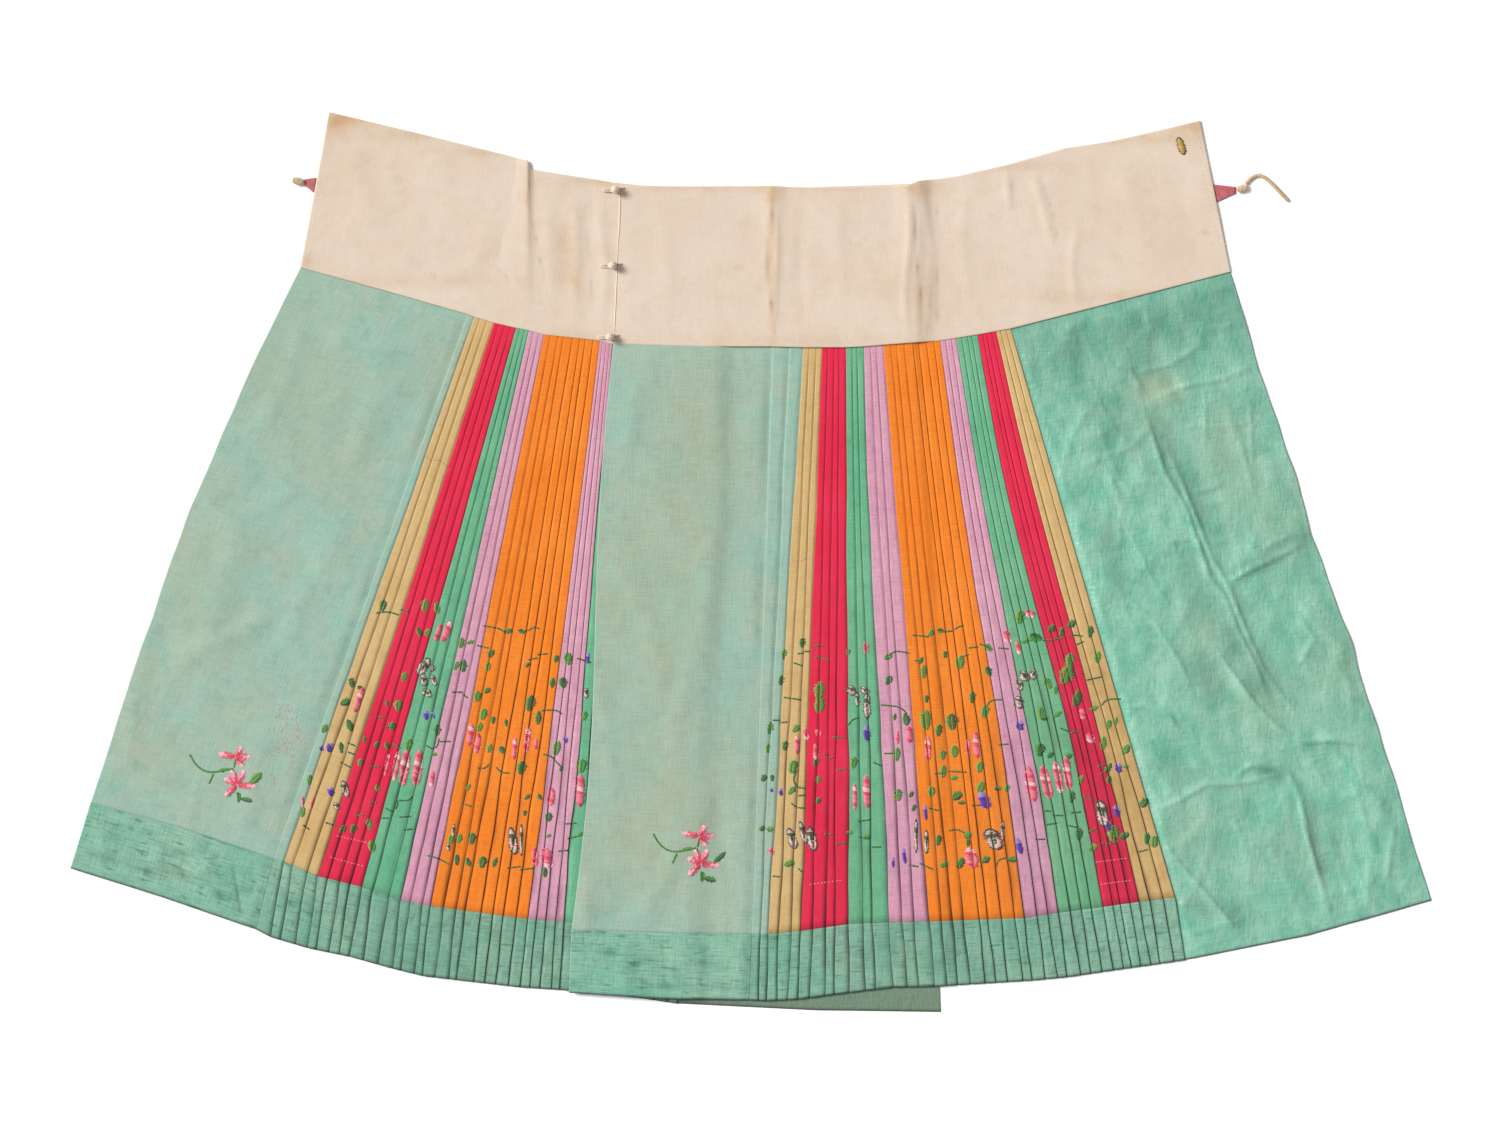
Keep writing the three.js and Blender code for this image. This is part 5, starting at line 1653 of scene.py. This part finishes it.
@dataclass(frozen=True)
class ClothPiece:
    """A piece of cloth that stands for one of the solids."""

    node: str
    cloth: Cloth
    laid: Laid
    held: str
    rests_on: tuple[str, ...]

    def build(self, wardrobe: Wardrobe) -> bpy.types.Object:
        made = self.laid.build()
        wardrobe.dress(made, self.cloth, self.node)
        wide, long, area = self.laid.cut()
        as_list(self.rests_on)
        return made


def crumpled(x: np.ndarray, y: np.ndarray) -> np.ndarray:
    """Small sharp creases all over the satin, long and short, in millimetres."""
    total = np.zeros_like(x)
    ways = ((11, 85, 1.1, 2.2), (12, 55, -0.4, 1.7), (13, 34, 0.4, 1.0), (14, 38, 1.9, 1.1),
            (16, 22, 0.9, 0.5))
    for seed, size, turn, high in ways:
        u = (x * math.cos(turn) + y * math.sin(turn)) / size
        v = (y * math.cos(turn) - x * math.sin(turn)) / (size * 2.4)
        bent = patchy(u + 0.5 * patchy(v * 0.9, u * 0.5, seed + 40), v, seed)
        shown = smooth(0.5 + 0.9 * patchy(u * 0.4, v * 0.8, seed + 60))
        total += high * (1 - np.abs(bent)) ** 5 * shown
    return total + 1.2 * (1 + patchy(x / 33, y / 48, 25)) + 0.8 * patchy(x / 17, y / 26, 26)


def undulating(x: np.ndarray, y: np.ndarray) -> np.ndarray:
    """Soft low waves on the diagonal, in millimetres."""
    waves = patchy((x + y) / 48, (y - x) / 130, 21) * 0.75
    waves = waves + patchy((x - 0.6 * y) / 30, (y + x) / 80, 22) * 0.4
    return 1.1 + waves


def wavering(x: np.ndarray, y: np.ndarray) -> np.ndarray:
    """The slight unevenness of washed cotton, in millimetres."""
    return 0.3 + 0.25 * patchy(x / 45, y / 60, 31) + 0.12 * patchy(x / 18, y / 24, 32)


class SkirtHalf:
    """One half of the skirt below its waistband: its panels, strips and hem bands."""

    def __init__(self, half: Half, end: str, lower: tuple[str, ...]) -> None:
        """Keeps the cut and what the half lies on.

        Args:
            half: The cut.
            end: The name of its left panel's nodes.
            lower: The names of what it lies on.
        """
        self.half, self.end, self.lower = half, end, lower

    def pieces(self) -> Iterator[ClothPiece]:
        """Every piece of cloth below the waist seam."""
        left = self.half.name == "left"
        yield self.panel(PALE_FOLDS if left else CENTRE_FOLDS)
        strips = [seam for seam in self.half.seams if seam.pleats and seam.name != "panel pleat"]
        yield from map(self.strip, strips)
        yield self.flat_band(LEFT_BAND_FOLDS if left else CENTRE_BAND_FOLDS)
        yield self.pleat_band()
        yield self.lined(left)

    def piece(self, name: str, cloth: Cloth, laid: Laid, held: str = "folded") -> ClothPiece:
        """A piece of this half, with its node's name."""
        return ClothPiece(f"{self.half.name}_{name}", cloth, laid, held, self.lower)

    def panel(self, creases: Sequence[Fold]) -> ClothPiece:
        """The pale panel, with the pleats that are folded in its own cloth."""
        pleating = Pleating(self.half.rows(PANEL_ROWS))
        own = pleating.edges.find("tan_1")
        path = Path()
        pleating.flat(path, 0 * pleating.edges.s[:, 0], pleating.edges.s[:, 0], ends=False)
        for e in range(own + 1):
            pleating.turn(path, e, Part.END if e == own else Part.WHOLE)
            if e < own:
                pleating.slope(path, e, e + 1)
        pleating.darken(path, 0.45)
        laid = Laid(f"{self.half.name}_{self.end}_panel_silk", pleating.rows, path,
                    lambda x, y: lifted(creases, x, y) + undulating(x, y), soils=PALE_SOILS,
                    ease=pleating.ease(path, right=0))
        return self.piece(f"{self.end}_panel", Cloth.PALE, laid)

    def strip(self, seam: Seam) -> ClothPiece:
        """One pleated strip of coloured silk."""
        pleating = Pleating(self.half.rows(STRIP_ROWS))
        first = pleating.edges.find(seam.name)
        path = pleating.section(first, first + seam.pleats)
        pleating.darken(path)
        laid = Laid(f"{self.half.name}_{seam.name}_silk", pleating.rows, path, lambda x, y: 0 * x,
                    soils=STRIP_SOILS)
        return self.piece(seam.name, seam.cloth, laid)

    def flat_band(self, creases: Sequence[Fold]) -> ClothPiece:
        """The hem band of the pale panel."""
        pleating = Pleating(self.half.rows(BAND_ROWS), flat_step=4.0)
        path = Path()
        pleating.flat(path, 0 * pleating.edges.s[:, 0], pleating.edges.s[:, 0], ends=False)
        pleating.turn(path, 0, Part.END)
        pleating.darken(path)
        laid = Laid(f"{self.half.name}_{self.end}_band_silk", pleating.rows, path,
                    lambda x, y: lifted(creases, x, y) + undulating(x, y) + 0.5, raised=0.3, trim=True,
                    # Dark lines painted in the troughs of the band's folds, as their shade.
                    creases=[Fold(c.start, c.end, 1.5, 0.55, c.bend, True) for c in creases if c.height < 0],
                    ease=pleating.ease(path, right=0))
        return self.piece(f"{self.end}_band", Cloth.BAND, laid, "laid")

    def pleat_band(self) -> ClothPiece:
        """The hem band of all the strips, folded with them."""
        pleating = Pleating(self.half.rows(BAND_ROWS))
        last = len(pleating.edges.faces) - 1
        path = pleating.section(0, last)
        pleating.darken(path)
        laid = Laid(f"{self.half.name}_pleat_band_silk", pleating.rows, path, lambda x, y: 0 * x,
                    raised=0.3, trim=True,
                    soils=BAND_SOILS)
        return self.piece("pleat_band", Cloth.BAND, laid)

    def lined(self, covered: bool) -> ClothPiece:
        """The panel of satin lining at the half's right, down to its own hem."""
        rows = self.half.rows(COVERED_ROWS if covered else LINED_ROWS)
        pleating = Pleating(rows, flat_step=9.0 if covered else 2.7)
        last = len(pleating.edges.faces) - 1
        path = Path()
        pleating.turn(path, last, Part.START)
        pleating.flat(path, pleating.edges.s[:, last] + 1.0, rows.at[:, -1], ends=True)
        pleating.darken(path)
        relief = ((lambda x, y: 0 * x) if covered
                  else (lambda x, y: lifted(SATIN_FOLDS, x, y) + crumpled(x, y)))
        name = "covered" if covered else "end"
        across = np.stack(path.across, axis=1)
        to_edge = np.minimum(rows.at[:, -1:] - across, (HEM_EDGE - rows.down[:, None]) * BAND_MM)
        ease = pleating.ease(path, left=last) * (0.3 + 0.7 * smooth(to_edge / 26))
        laid = Laid(f"{self.half.name}_{name}_panel_satin", rows, path, relief,
                    soils=COVERED_SOILS if covered else SATIN_SOILS,
                    creases=COVERED_SHADE if covered else SATIN_SHADE, trim=True, ease=ease)
        return self.piece(f"{name}_panel", Cloth.SATIN, laid, "laid")


class Needlework:
    """All the thread that shows: the embroidery, the tacking and the waistbands' stitches."""

    def __init__(self, laid: Sequence[ClothPiece]) -> None:
        """Keeps the upper side of all cloth.

        Args:
            laid: The pieces of cloth.
        """
        verts, faces, count = [], [], 0
        for piece in laid:
            upper = piece.laid.sides[0]
            rows, columns = upper.shape[:2]
            index = np.arange(rows * columns).reshape(rows, columns) + count
            quads = np.stack([index[:-1, :-1], index[1:, :-1], index[1:, 1:], index[:-1, 1:]], axis=2)
            verts.extend(upper.reshape(-1, 3).tolist())
            faces.extend(quads.reshape(-1, 4).tolist())
            count += rows * columns
        self.ground = BVHTree.FromPolygons(verts, faces)

    def greenery(self) -> Needle:
        """Leaves and vines."""
        sewn = Embroidery(Needle(self.ground, 1))
        for x, y, long, turn in LEAVES:
            sewn.leaf((x, y), long * LEAF_GROWTH, turn)
        for row in VINES:
            sewn.vine(pairs(row))
        return sewn.needle

    def blossoms(self) -> Needle:
        """Flowers and butterflies."""
        sewn = Embroidery(Needle(self.ground, 2))
        bands = (Silk.BLUSH, Silk.PINK, Silk.ROSE, Silk.PINK, Silk.PINK, Silk.ROSE)
        for x, y, tall, wide, lean in PINK_PATCHES:
            count = max(3, round(tall / BLOSSOM_BAND_MM))
            first = abs(x + y) % 3
            silks = [bands[(k + first) % len(bands)] for k in range(count)]
            sewn.patch((x, y), tall, wide * BLOSSOM_GROWTH, 90 - lean, silks)
        for x, y, tall, wide, lean in PURPLE_PATCHES:
            sewn.patch((x, y), tall, wide, 90 - lean, (Silk.PURPLE, Silk.PURPLE, Silk.VIOLET))
        for x, y, tall, wide, lean in WINGS:
            sewn.wing((x, y), tall, wide, 90 - lean)
        for x, y in SPRIGS:
            sewn.sprig(x, y)
        return sewn.needle

    def sewing(self) -> Needle:
        """Tacking, loose threads, edge stitches, the brown line that paints the shadow at the lap, faded
        specks and the gold mark.
        """
        sewn = Embroidery(Needle(self.ground, 3))
        for line in TACKS:
            sewn.vine(line, 0.8, Silk.TACKING, 0.3, 4.0)
        for line in LOOSE_THREADS:
            sewn.vine(line, 0.6, Silk.FADED_PINK)
        for start, end in EDGE_STITCHES:
            for t in np.linspace(0, 1, 30):
                x, y = start[0] + (end[0] - start[0]) * t, start[1] + (end[1] - start[1]) * t
                sewn.needle.stitch((x - 1.4, y), (x + 1.4, y + 0.3), 0.6, Silk.TAN, -0.05)
        # The brown line that paints the shadow along the right waistband's left edge.
        sewn.vine(LAP_SHADOW_LINE, 0.9, Silk.BROWN, -0.3)
        chance = sewn.needle.chance
        for _ in range(SPECKLES):
            x, y = (float(chance.normal(mean, spread / 1.6)) for mean, spread in zip(*SPECKLED))
            long = float(chance.uniform(0.9, 4.2))
            sewn.needle.stitch((x, y), (x + long * 0.2, y + long), 1.3, Silk.FADED_PINK, 0.0)
        sewn.patch(MARK, 22, 11, 106, (Silk.OLIVE,))
        sewn.patch(MARK, 18.5, 7.5, 106, (Silk.GOLD,), 0.3)
        sewn.vine([(MARK[0] + 2.4, MARK[1] - 8), (MARK[0] - 2.4, MARK[1] + 8)], 0.7, Silk.OLIVE, 0.4)
        return sewn.needle

    def build(self, wardrobe: "Wardrobe") -> None:
        """Makes the pieces."""
        thread = wardrobe.finish(SewingThread("twisted_silk_thread"))
        for name, slot, needle in (("leaf_embroidery_silk", Cloth.GREEN, self.greenery()),
                                   ("flower_embroidery_silk", Cloth.RED, self.blossoms()),
                                   ("sewing_stitches_cotton", Cloth.COTTON, self.sewing())):
            made = needle.build(name, slot, thread)
            log.info("%s: %d stitches, %d faces", made.name, len(needle.places), len(made.data.polygons))


class WaistRows:
    """Rows of a waistband, from its top edge down to the waist seam."""

    def __init__(self, half: Half, stations: Sequence[Station], down: np.ndarray) -> None:
        """Finds the waistband's two edges.

        Args:
            half: The half that it is sewn to.
            stations: The points along it.
            down: The rows, as shares of the way to the seam.
        """
        seam = half.rows([0.0])
        self.down = down
        at = [*seam.at[0], seam.at[0][-1]]
        lines = [half.index(station.line) for station in stations]
        places = [at[i] + station.share * (at[i + 1] - at[i]) for i, station in zip(lines, stations)]
        x, y = seam.place(np.array([places]))
        self.sewn = np.stack([x[0], y[0] + 0.15], axis=1)
        self.top = np.array([station.top for station in stations], float)
        self.at = travelled(self.sewn)
        self.low = np.array([station.base for station in stations])
        self.lift = np.array([station.lift for station in stations])

    def down_mm(self) -> np.ndarray:
        """How far each row lies below the top edge."""
        return self.down * WAISTBAND_MM

    def place(self, across: np.ndarray) -> tuple[np.ndarray, np.ndarray]:
        """The x and y of places along it, one row of them for each row."""
        down = self.down[:, None]
        ends = [[np.interp(across, self.at, edge[:, i]) for i in (0, 1)] for edge in (self.top, self.sewn)]
        return ends[0][0] * (1 - down) + ends[1][0] * down, ends[0][1] * (1 - down) + ends[1][1] * down

    def base(self, across: np.ndarray) -> np.ndarray:
        """How high it lies, with its tucks."""
        low, lift = (np.interp(across, self.at, values) for values in (self.low, self.lift))
        return low + lift * (1 - self.down[:, None])


@dataclass(frozen=True)
class Waistband:
    """A deep band of doubled cotton above a half."""

    half: Half
    stations: tuple[Station, ...]
    folds: tuple[Fold, ...]
    # Creases along which the cotton is painted darker, as their shade.
    creases: tuple[Fold, ...]
    soils: tuple[Soil, ...]
    rests_on: tuple[str, ...]
    wall: float = 1.7
    rim: float = 1.8

    def piece(self) -> ClothPiece:
        """Lays the waistband."""
        rims = np.array([0.0, 0.3, 0.8, 1.5, 2.6])
        edge, inside = rims / WAISTBAND_MM, 5 / WAISTBAND_MM
        down = np.concatenate([edge, np.linspace(inside, 1 - inside, 44), 1 - edge[::-1]])
        rows = WaistRows(self.half, self.stations, down)
        end = rows.at[-1]
        across = np.concatenate([rims, np.arange(5.0, end - 4.5, 4.0), end - rims[::-1]])
        path = Path()
        for s in across:
            path.add(np.full(len(down), s), np.full(len(down), WAIST_WALL / 2))
        near = np.minimum(np.minimum(across, end - across)[None, :],
                          np.minimum(rows.down_mm(), WAISTBAND_MM - rows.down_mm())[:, None])
        wall = self.wall * np.sqrt(1 - (1 - np.clip((near + 0.1) / self.rim, 0, 1)) ** 2)
        laid = Laid(f"{self.half.name}_waistband_cotton", rows, path,
                    lambda x, y: lifted(self.folds, x, y) + wavering(x, y), wall=wall, soils=self.soils,
                    creases=self.creases)
        return ClothPiece(f"{self.half.name}_waistband", Cloth.COTTON, laid, "laid", self.rests_on)


# Fastenings and ties.


@dataclass(frozen=True)
class KnotButton:
    """A knotted cord button with its stem, and the loop of the other side that goes round its neck."""

    name: str
    x: float
    y: float
    ball: float = 5.0
    half_height: float = 4.0
    bend: float = 3.1
    cord: float = 1.1
    stem: float = 15.0
    stem_z: float = ON_WAISTBAND
    loop_z: float = ON_WAISTBAND + WAIST_WALL + SOLID_GAP + 1.1

    def build(self, wardrobe: Wardrobe) -> None:
        """Makes the button and its loop."""
        neck = self.x - self.bend - self.cord
        z = self.loop_z + self.cord + SOLID_GAP + self.half_height
        knob = Shape()
        knob.ball((neck, self.y, z), (self.ball * 0.74, self.ball * 0.74, self.half_height * 0.74))
        turns = np.linspace(0, 2 * math.pi, 28, endpoint=False)
        for tilt, spin in ((0.0, 0.0), (1.15, 0.4), (1.15, 2.5)):
            for shift in (-0.42, 0.0, 0.42):
                size = math.sqrt(1 - shift * shift) * 0.80
                ring = np.stack([size * np.cos(turns), size * np.sin(turns), np.full(28, shift * 0.9)], axis=1)
                c, s = math.cos(tilt), math.sin(tilt)
                ring = ring @ np.array([[1, 0, 0], [0, c, s], [0, -s, c]])
                c, s = math.cos(spin), math.sin(spin)
                ring = ring @ np.array([[c, s, 0], [-s, c, 0], [0, 0, 1]])
                ring = ring * np.array([self.ball, self.ball, self.half_height]) + np.array([neck, self.y, z])
                knob.tube(ring, 0.95, sides=6, loop=True)
        for side in (-1.0, 1.0):
            line = [(neck, self.y, z - 2), (neck, self.y + side * 0.9, self.stem_z + 2.6),
                    (neck - 2.5, self.y + side * 1.25, self.stem_z + 1.0),
                    (neck - self.stem + 2, self.y + side * 1.35, self.stem_z + 0.95),
                    (neck - self.stem + 0.5, self.y + side * 0.5, self.stem_z + 0.9)]
            knob.tube(dense(np.array(line), 1.0), 1.3, sides=8, flat=0.7)
        for k in range(2):
            x = neck - 4.6 - k * 5.0
            arc = [(x + 0.3 * math.sin(k), self.y + 2.7 * math.cos(a), self.stem_z + 0.2 + 2.1 * math.sin(a))
                   for a in np.linspace(0.05, math.pi - 0.05, 9)]
            knob.tube(np.array(arc), 0.32, sides=6)
        wardrobe.dress(knob.build(f"button_{self.name}_cord"), Cloth.COTTON, f"button_{self.name}")
        loop = Shape()
        end = self.x + self.bend + 2 * self.cord
        bend = [(neck + self.bend * math.cos(a), self.y + self.bend * math.sin(a), self.loop_z)
                for a in np.linspace(math.pi / 2, 1.5 * math.pi, 9)]
        loop.twist(dense(np.array([(end, self.y + self.bend * 0.7, self.loop_z - 0.4), *bend,
                                   (end, self.y - self.bend * 0.7, self.loop_z - 0.4)]), 0.8), self.cord, 3.4)
        wardrobe.dress(loop.build(f"loop_{self.name}_cord"), Cloth.COTTON, f"loop_{self.name}")


@dataclass(frozen=True)
class TieKnot:
    """A knot at the end of a tie, as cord wound round itself."""

    node: str
    x: float
    y: float
    turn: float
    size: tuple[float, float, float] = (8.0, 5.0, 2.4)

    def build(self, wardrobe: Wardrobe) -> None:
        """Makes the knot."""
        shape = Shape()
        long, wide, high = self.size
        shape.ball((0, 0, 0), (long * 0.86, wide * 0.8, high * 0.8), 18, 10)
        t = np.linspace(-0.86, 0.86, 88)
        spin = 9.5 * math.pi * t
        round_ = np.sqrt(1 - t * t) * (1 + 0.08 * np.sin(spin * 2.3))
        coil = np.stack([t * long * 0.95, wide * 0.84 * round_ * np.cos(spin),
                         high * 0.8 * round_ * np.sin(spin)], 1)
        shape.tube(coil, 0.62, sides=6)
        c, s = math.cos(self.turn), math.sin(self.turn)
        for verts in shape.verts:
            verts[:] = verts @ np.array([[c, s, 0], [-s, c, 0], [0, 0, 1]]) + np.array([self.x, self.y, high])
        wardrobe.dress(shape.build(f"{self.node}_cord", 0.35), Cloth.COTTON, self.node)


@dataclass(frozen=True)
class TieTab:
    """A small folded tab of cloth at the end of a waistband."""

    node: str
    corners: tuple[Point, ...]
    wall: float = 0.9
    steps: int = 10

    def build(self, wardrobe: Wardrobe) -> None:
        """Makes the tab as a puffed quilt between its corners."""
        a, b, c, d = (np.array(corner, float) for corner in self.corners)
        shape = Shape()
        n = self.steps
        verts, faces = [], []
        for way in (1.0, -1.0):
            for i in range(n + 1):
                for j in range(n + 1):
                    u, v = i / n, j / n
                    p = (a * (1 - u) + b * u) * (1 - v) + (d * (1 - u) + c * u) * v
                    near = min(u, 1 - u, v, 1 - v) * 2
                    thick = self.wall * (0.25 + 0.75 * math.sqrt(1 - (1 - near) ** 2))
                    wrinkle = 0.25 * math.sin(9 * v + 4 * u) * near if way > 0 else 0.0
                    verts.append((p[0], p[1], self.wall / 2 + 0.05 + way * thick / 2 + wrinkle))
        side = (n + 1) ** 2
        ccw = (b - a)[0] * (d - a)[1] - (b - a)[1] * (d - a)[0] > 0
        for i in range(n):
            for j in range(n):
                k = i * (n + 1) + j
                top = (k, k + n + 1, k + n + 2, k + 1)
                bottom = tuple(side + q for q in reversed(top))
                faces += [top, bottom] if ccw else [top[::-1], bottom[::-1]]
        rim = ([i * (n + 1) for i in range(n)] + [n * (n + 1) + j for j in range(n)]
               + [i * (n + 1) + n for i in range(n, 0, -1)] + list(range(n, 0, -1)))
        for p, q in zip(rim, rim[1:] + rim[:1]):
            quad = (p, side + p, side + q, q)
            faces.append(quad if ccw else quad[::-1])
        shape.add(np.array(verts), faces)
        wardrobe.dress(shape.build(f"{self.node}_cloth"), Cloth.TAB, self.node)


@dataclass(frozen=True)
class TieTape:
    """The cotton tape that is left of the right tie, lying loose from its knot."""

    route: tuple[Point, ...] = (
        (582.4, 445.2), (584.8, 448.0), (587.6, 450.8), (590.8, 453.2), (594.4, 454.6), (598.2, 454.6),
        (602.0, 453.0), (605.6, 450.6), (609.0, 447.8), (612.2, 444.8), (615.4, 441.6), (618.4, 438.4),
        (621.6, 435.0), (624.8, 431.6), (628.2, 428.0), (630.6, 425.4),
    )
    radius: float = 2.2
    flat: float = 0.6

    def build(self, wardrobe: Wardrobe) -> None:
        line = dense(np.array([(x, y, self.radius * self.flat + 0.2) for x, y in self.route]), 1.2)
        shape = Shape()
        wide = self.radius * (1 + 0.08 * np.sin(np.arange(len(line)) * 1.7))
        shape.tube(line, wide, sides=12, flat=self.flat)
        made = shape.build("tie_tape_cotton", 0.8)
        wardrobe.dress(made, Cloth.COTTON, "tie_tape")


# The studio.


@dataclass(frozen=True)
class Studio:
    """A white board, soft light from the upper left, and a camera straight above."""

    lens_mm: float = 100.0
    sensor_mm: float = 36.0
    frame_width_m: float = 1.764
    aim: Point = (-0.0012, -0.0006)
    key_strength: float = 4.4
    key_spread: float = 0.42
    key_place: tuple[float, float, float] = (-9.0, 3.9, 6.5)
    sky: float = 0.42

    def camera(self) -> None:
        """Makes the camera above the skirt."""
        data = bpy.data.cameras.new("camera")
        data.lens, data.sensor_width = self.lens_mm, self.sensor_mm
        data.clip_start, data.clip_end = 0.1, 50.0
        made = linked("camera", data)
        made.location = (*self.aim, self.frame_width_m * self.lens_mm / self.sensor_mm)
        bpy.context.scene.camera = made

    def light(self, wardrobe: Wardrobe) -> None:
        """Lays the board and sets up the lights."""
        half = 6.0
        mesh = bpy.data.meshes.new("table")
        corners = [(-half, -half), (half, -half), (half, half), (-half, half)]
        mesh.from_pydata([(x, y, z) for z in (-0.02, -0.0002) for x, y in corners], [],
                         [(4, 5, 6, 7), (3, 2, 1, 0), (0, 1, 5, 4), (1, 2, 6, 5), (2, 3, 7, 6), (3, 0, 4, 7)])
        table = linked("table", mesh)
        table.data.materials.append(wardrobe.finish(PaintedTable()))
        table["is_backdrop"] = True
        key = bpy.data.lights.new("key", "SUN")
        key.angle, key.energy = self.key_spread, self.key_strength
        lamp = linked("key", key)
        lamp.location = self.key_place
        lamp.rotation_euler = (-Vector(self.key_place)).to_track_quat("-Z", "Y").to_euler()
        world = bpy.data.worlds.new("studio")
        world.use_nodes = True
        background = world.node_tree.nodes["Background"].inputs
        background["Color"].default_value, background["Strength"].default_value = (1, 1, 1, 1), self.sky
        bpy.context.scene.world = world
        bpy.context.scene.view_settings.view_transform = "Standard"


BUTTONS = (KnotButton("top", -155, 437), KnotButton("middle", -158, 348), KnotButton("low", -161, 264))
KNOTS = (TieKnot("left_knot", -532.5, 447.5, -0.25), TieKnot("right_knot", 577.5, 439, 0.25))
TABS = (
    TieTab("left_tab", ((-510.65, 452), (-514, 434), (-525.2, 443), (-525.2, 450))),
    TieTab("right_tab", ((543.5, 444), (547.75, 423), (570.2, 433), (570.2, 441))),
)


def main() -> None:
    logging.basicConfig(level=logging.INFO, format="%(message)s")
    wardrobe = Wardrobe()
    studio = Studio()
    studio.camera()
    TieTape().build(wardrobe)
    under = ("table",)
    halves = (SkirtHalf(LEFT_HALF, "end", under),
              SkirtHalf(RIGHT_HALF, "centre", ("left_covered_panel_satin", "left_tan_2_silk")))
    laid: list[ClothPiece] = [piece for half in halves for piece in half.pieces()]
    laid.append(Waistband(LEFT_HALF, LEFT_STATIONS, LEFT_WAIST_FOLDS, LEFT_WAIST_CREASE_SHADE, LEFT_WAIST_SOILS,
                          under).piece())
    laid.append(Waistband(RIGHT_HALF, RIGHT_STATIONS, RIGHT_WAIST_FOLDS, RIGHT_WAIST_CREASE_SHADE,
                          RIGHT_WAIST_SOILS, ("left_waistband_cotton",)).piece())
    for piece in laid:
        made = piece.build(wardrobe)
        log.info("%s: %d faces", made.name, len(made.data.polygons))
    Needlework(laid).build(wardrobe)
    for thing in (*BUTTONS, *KNOTS, *TABS):
        thing.build(wardrobe)
    studio.light(wardrobe)
    {"cad": [list(corner) for corner in CAD_BOX], "scene": [list(corner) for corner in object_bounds()]}


if __name__ == "__main__":
    main()
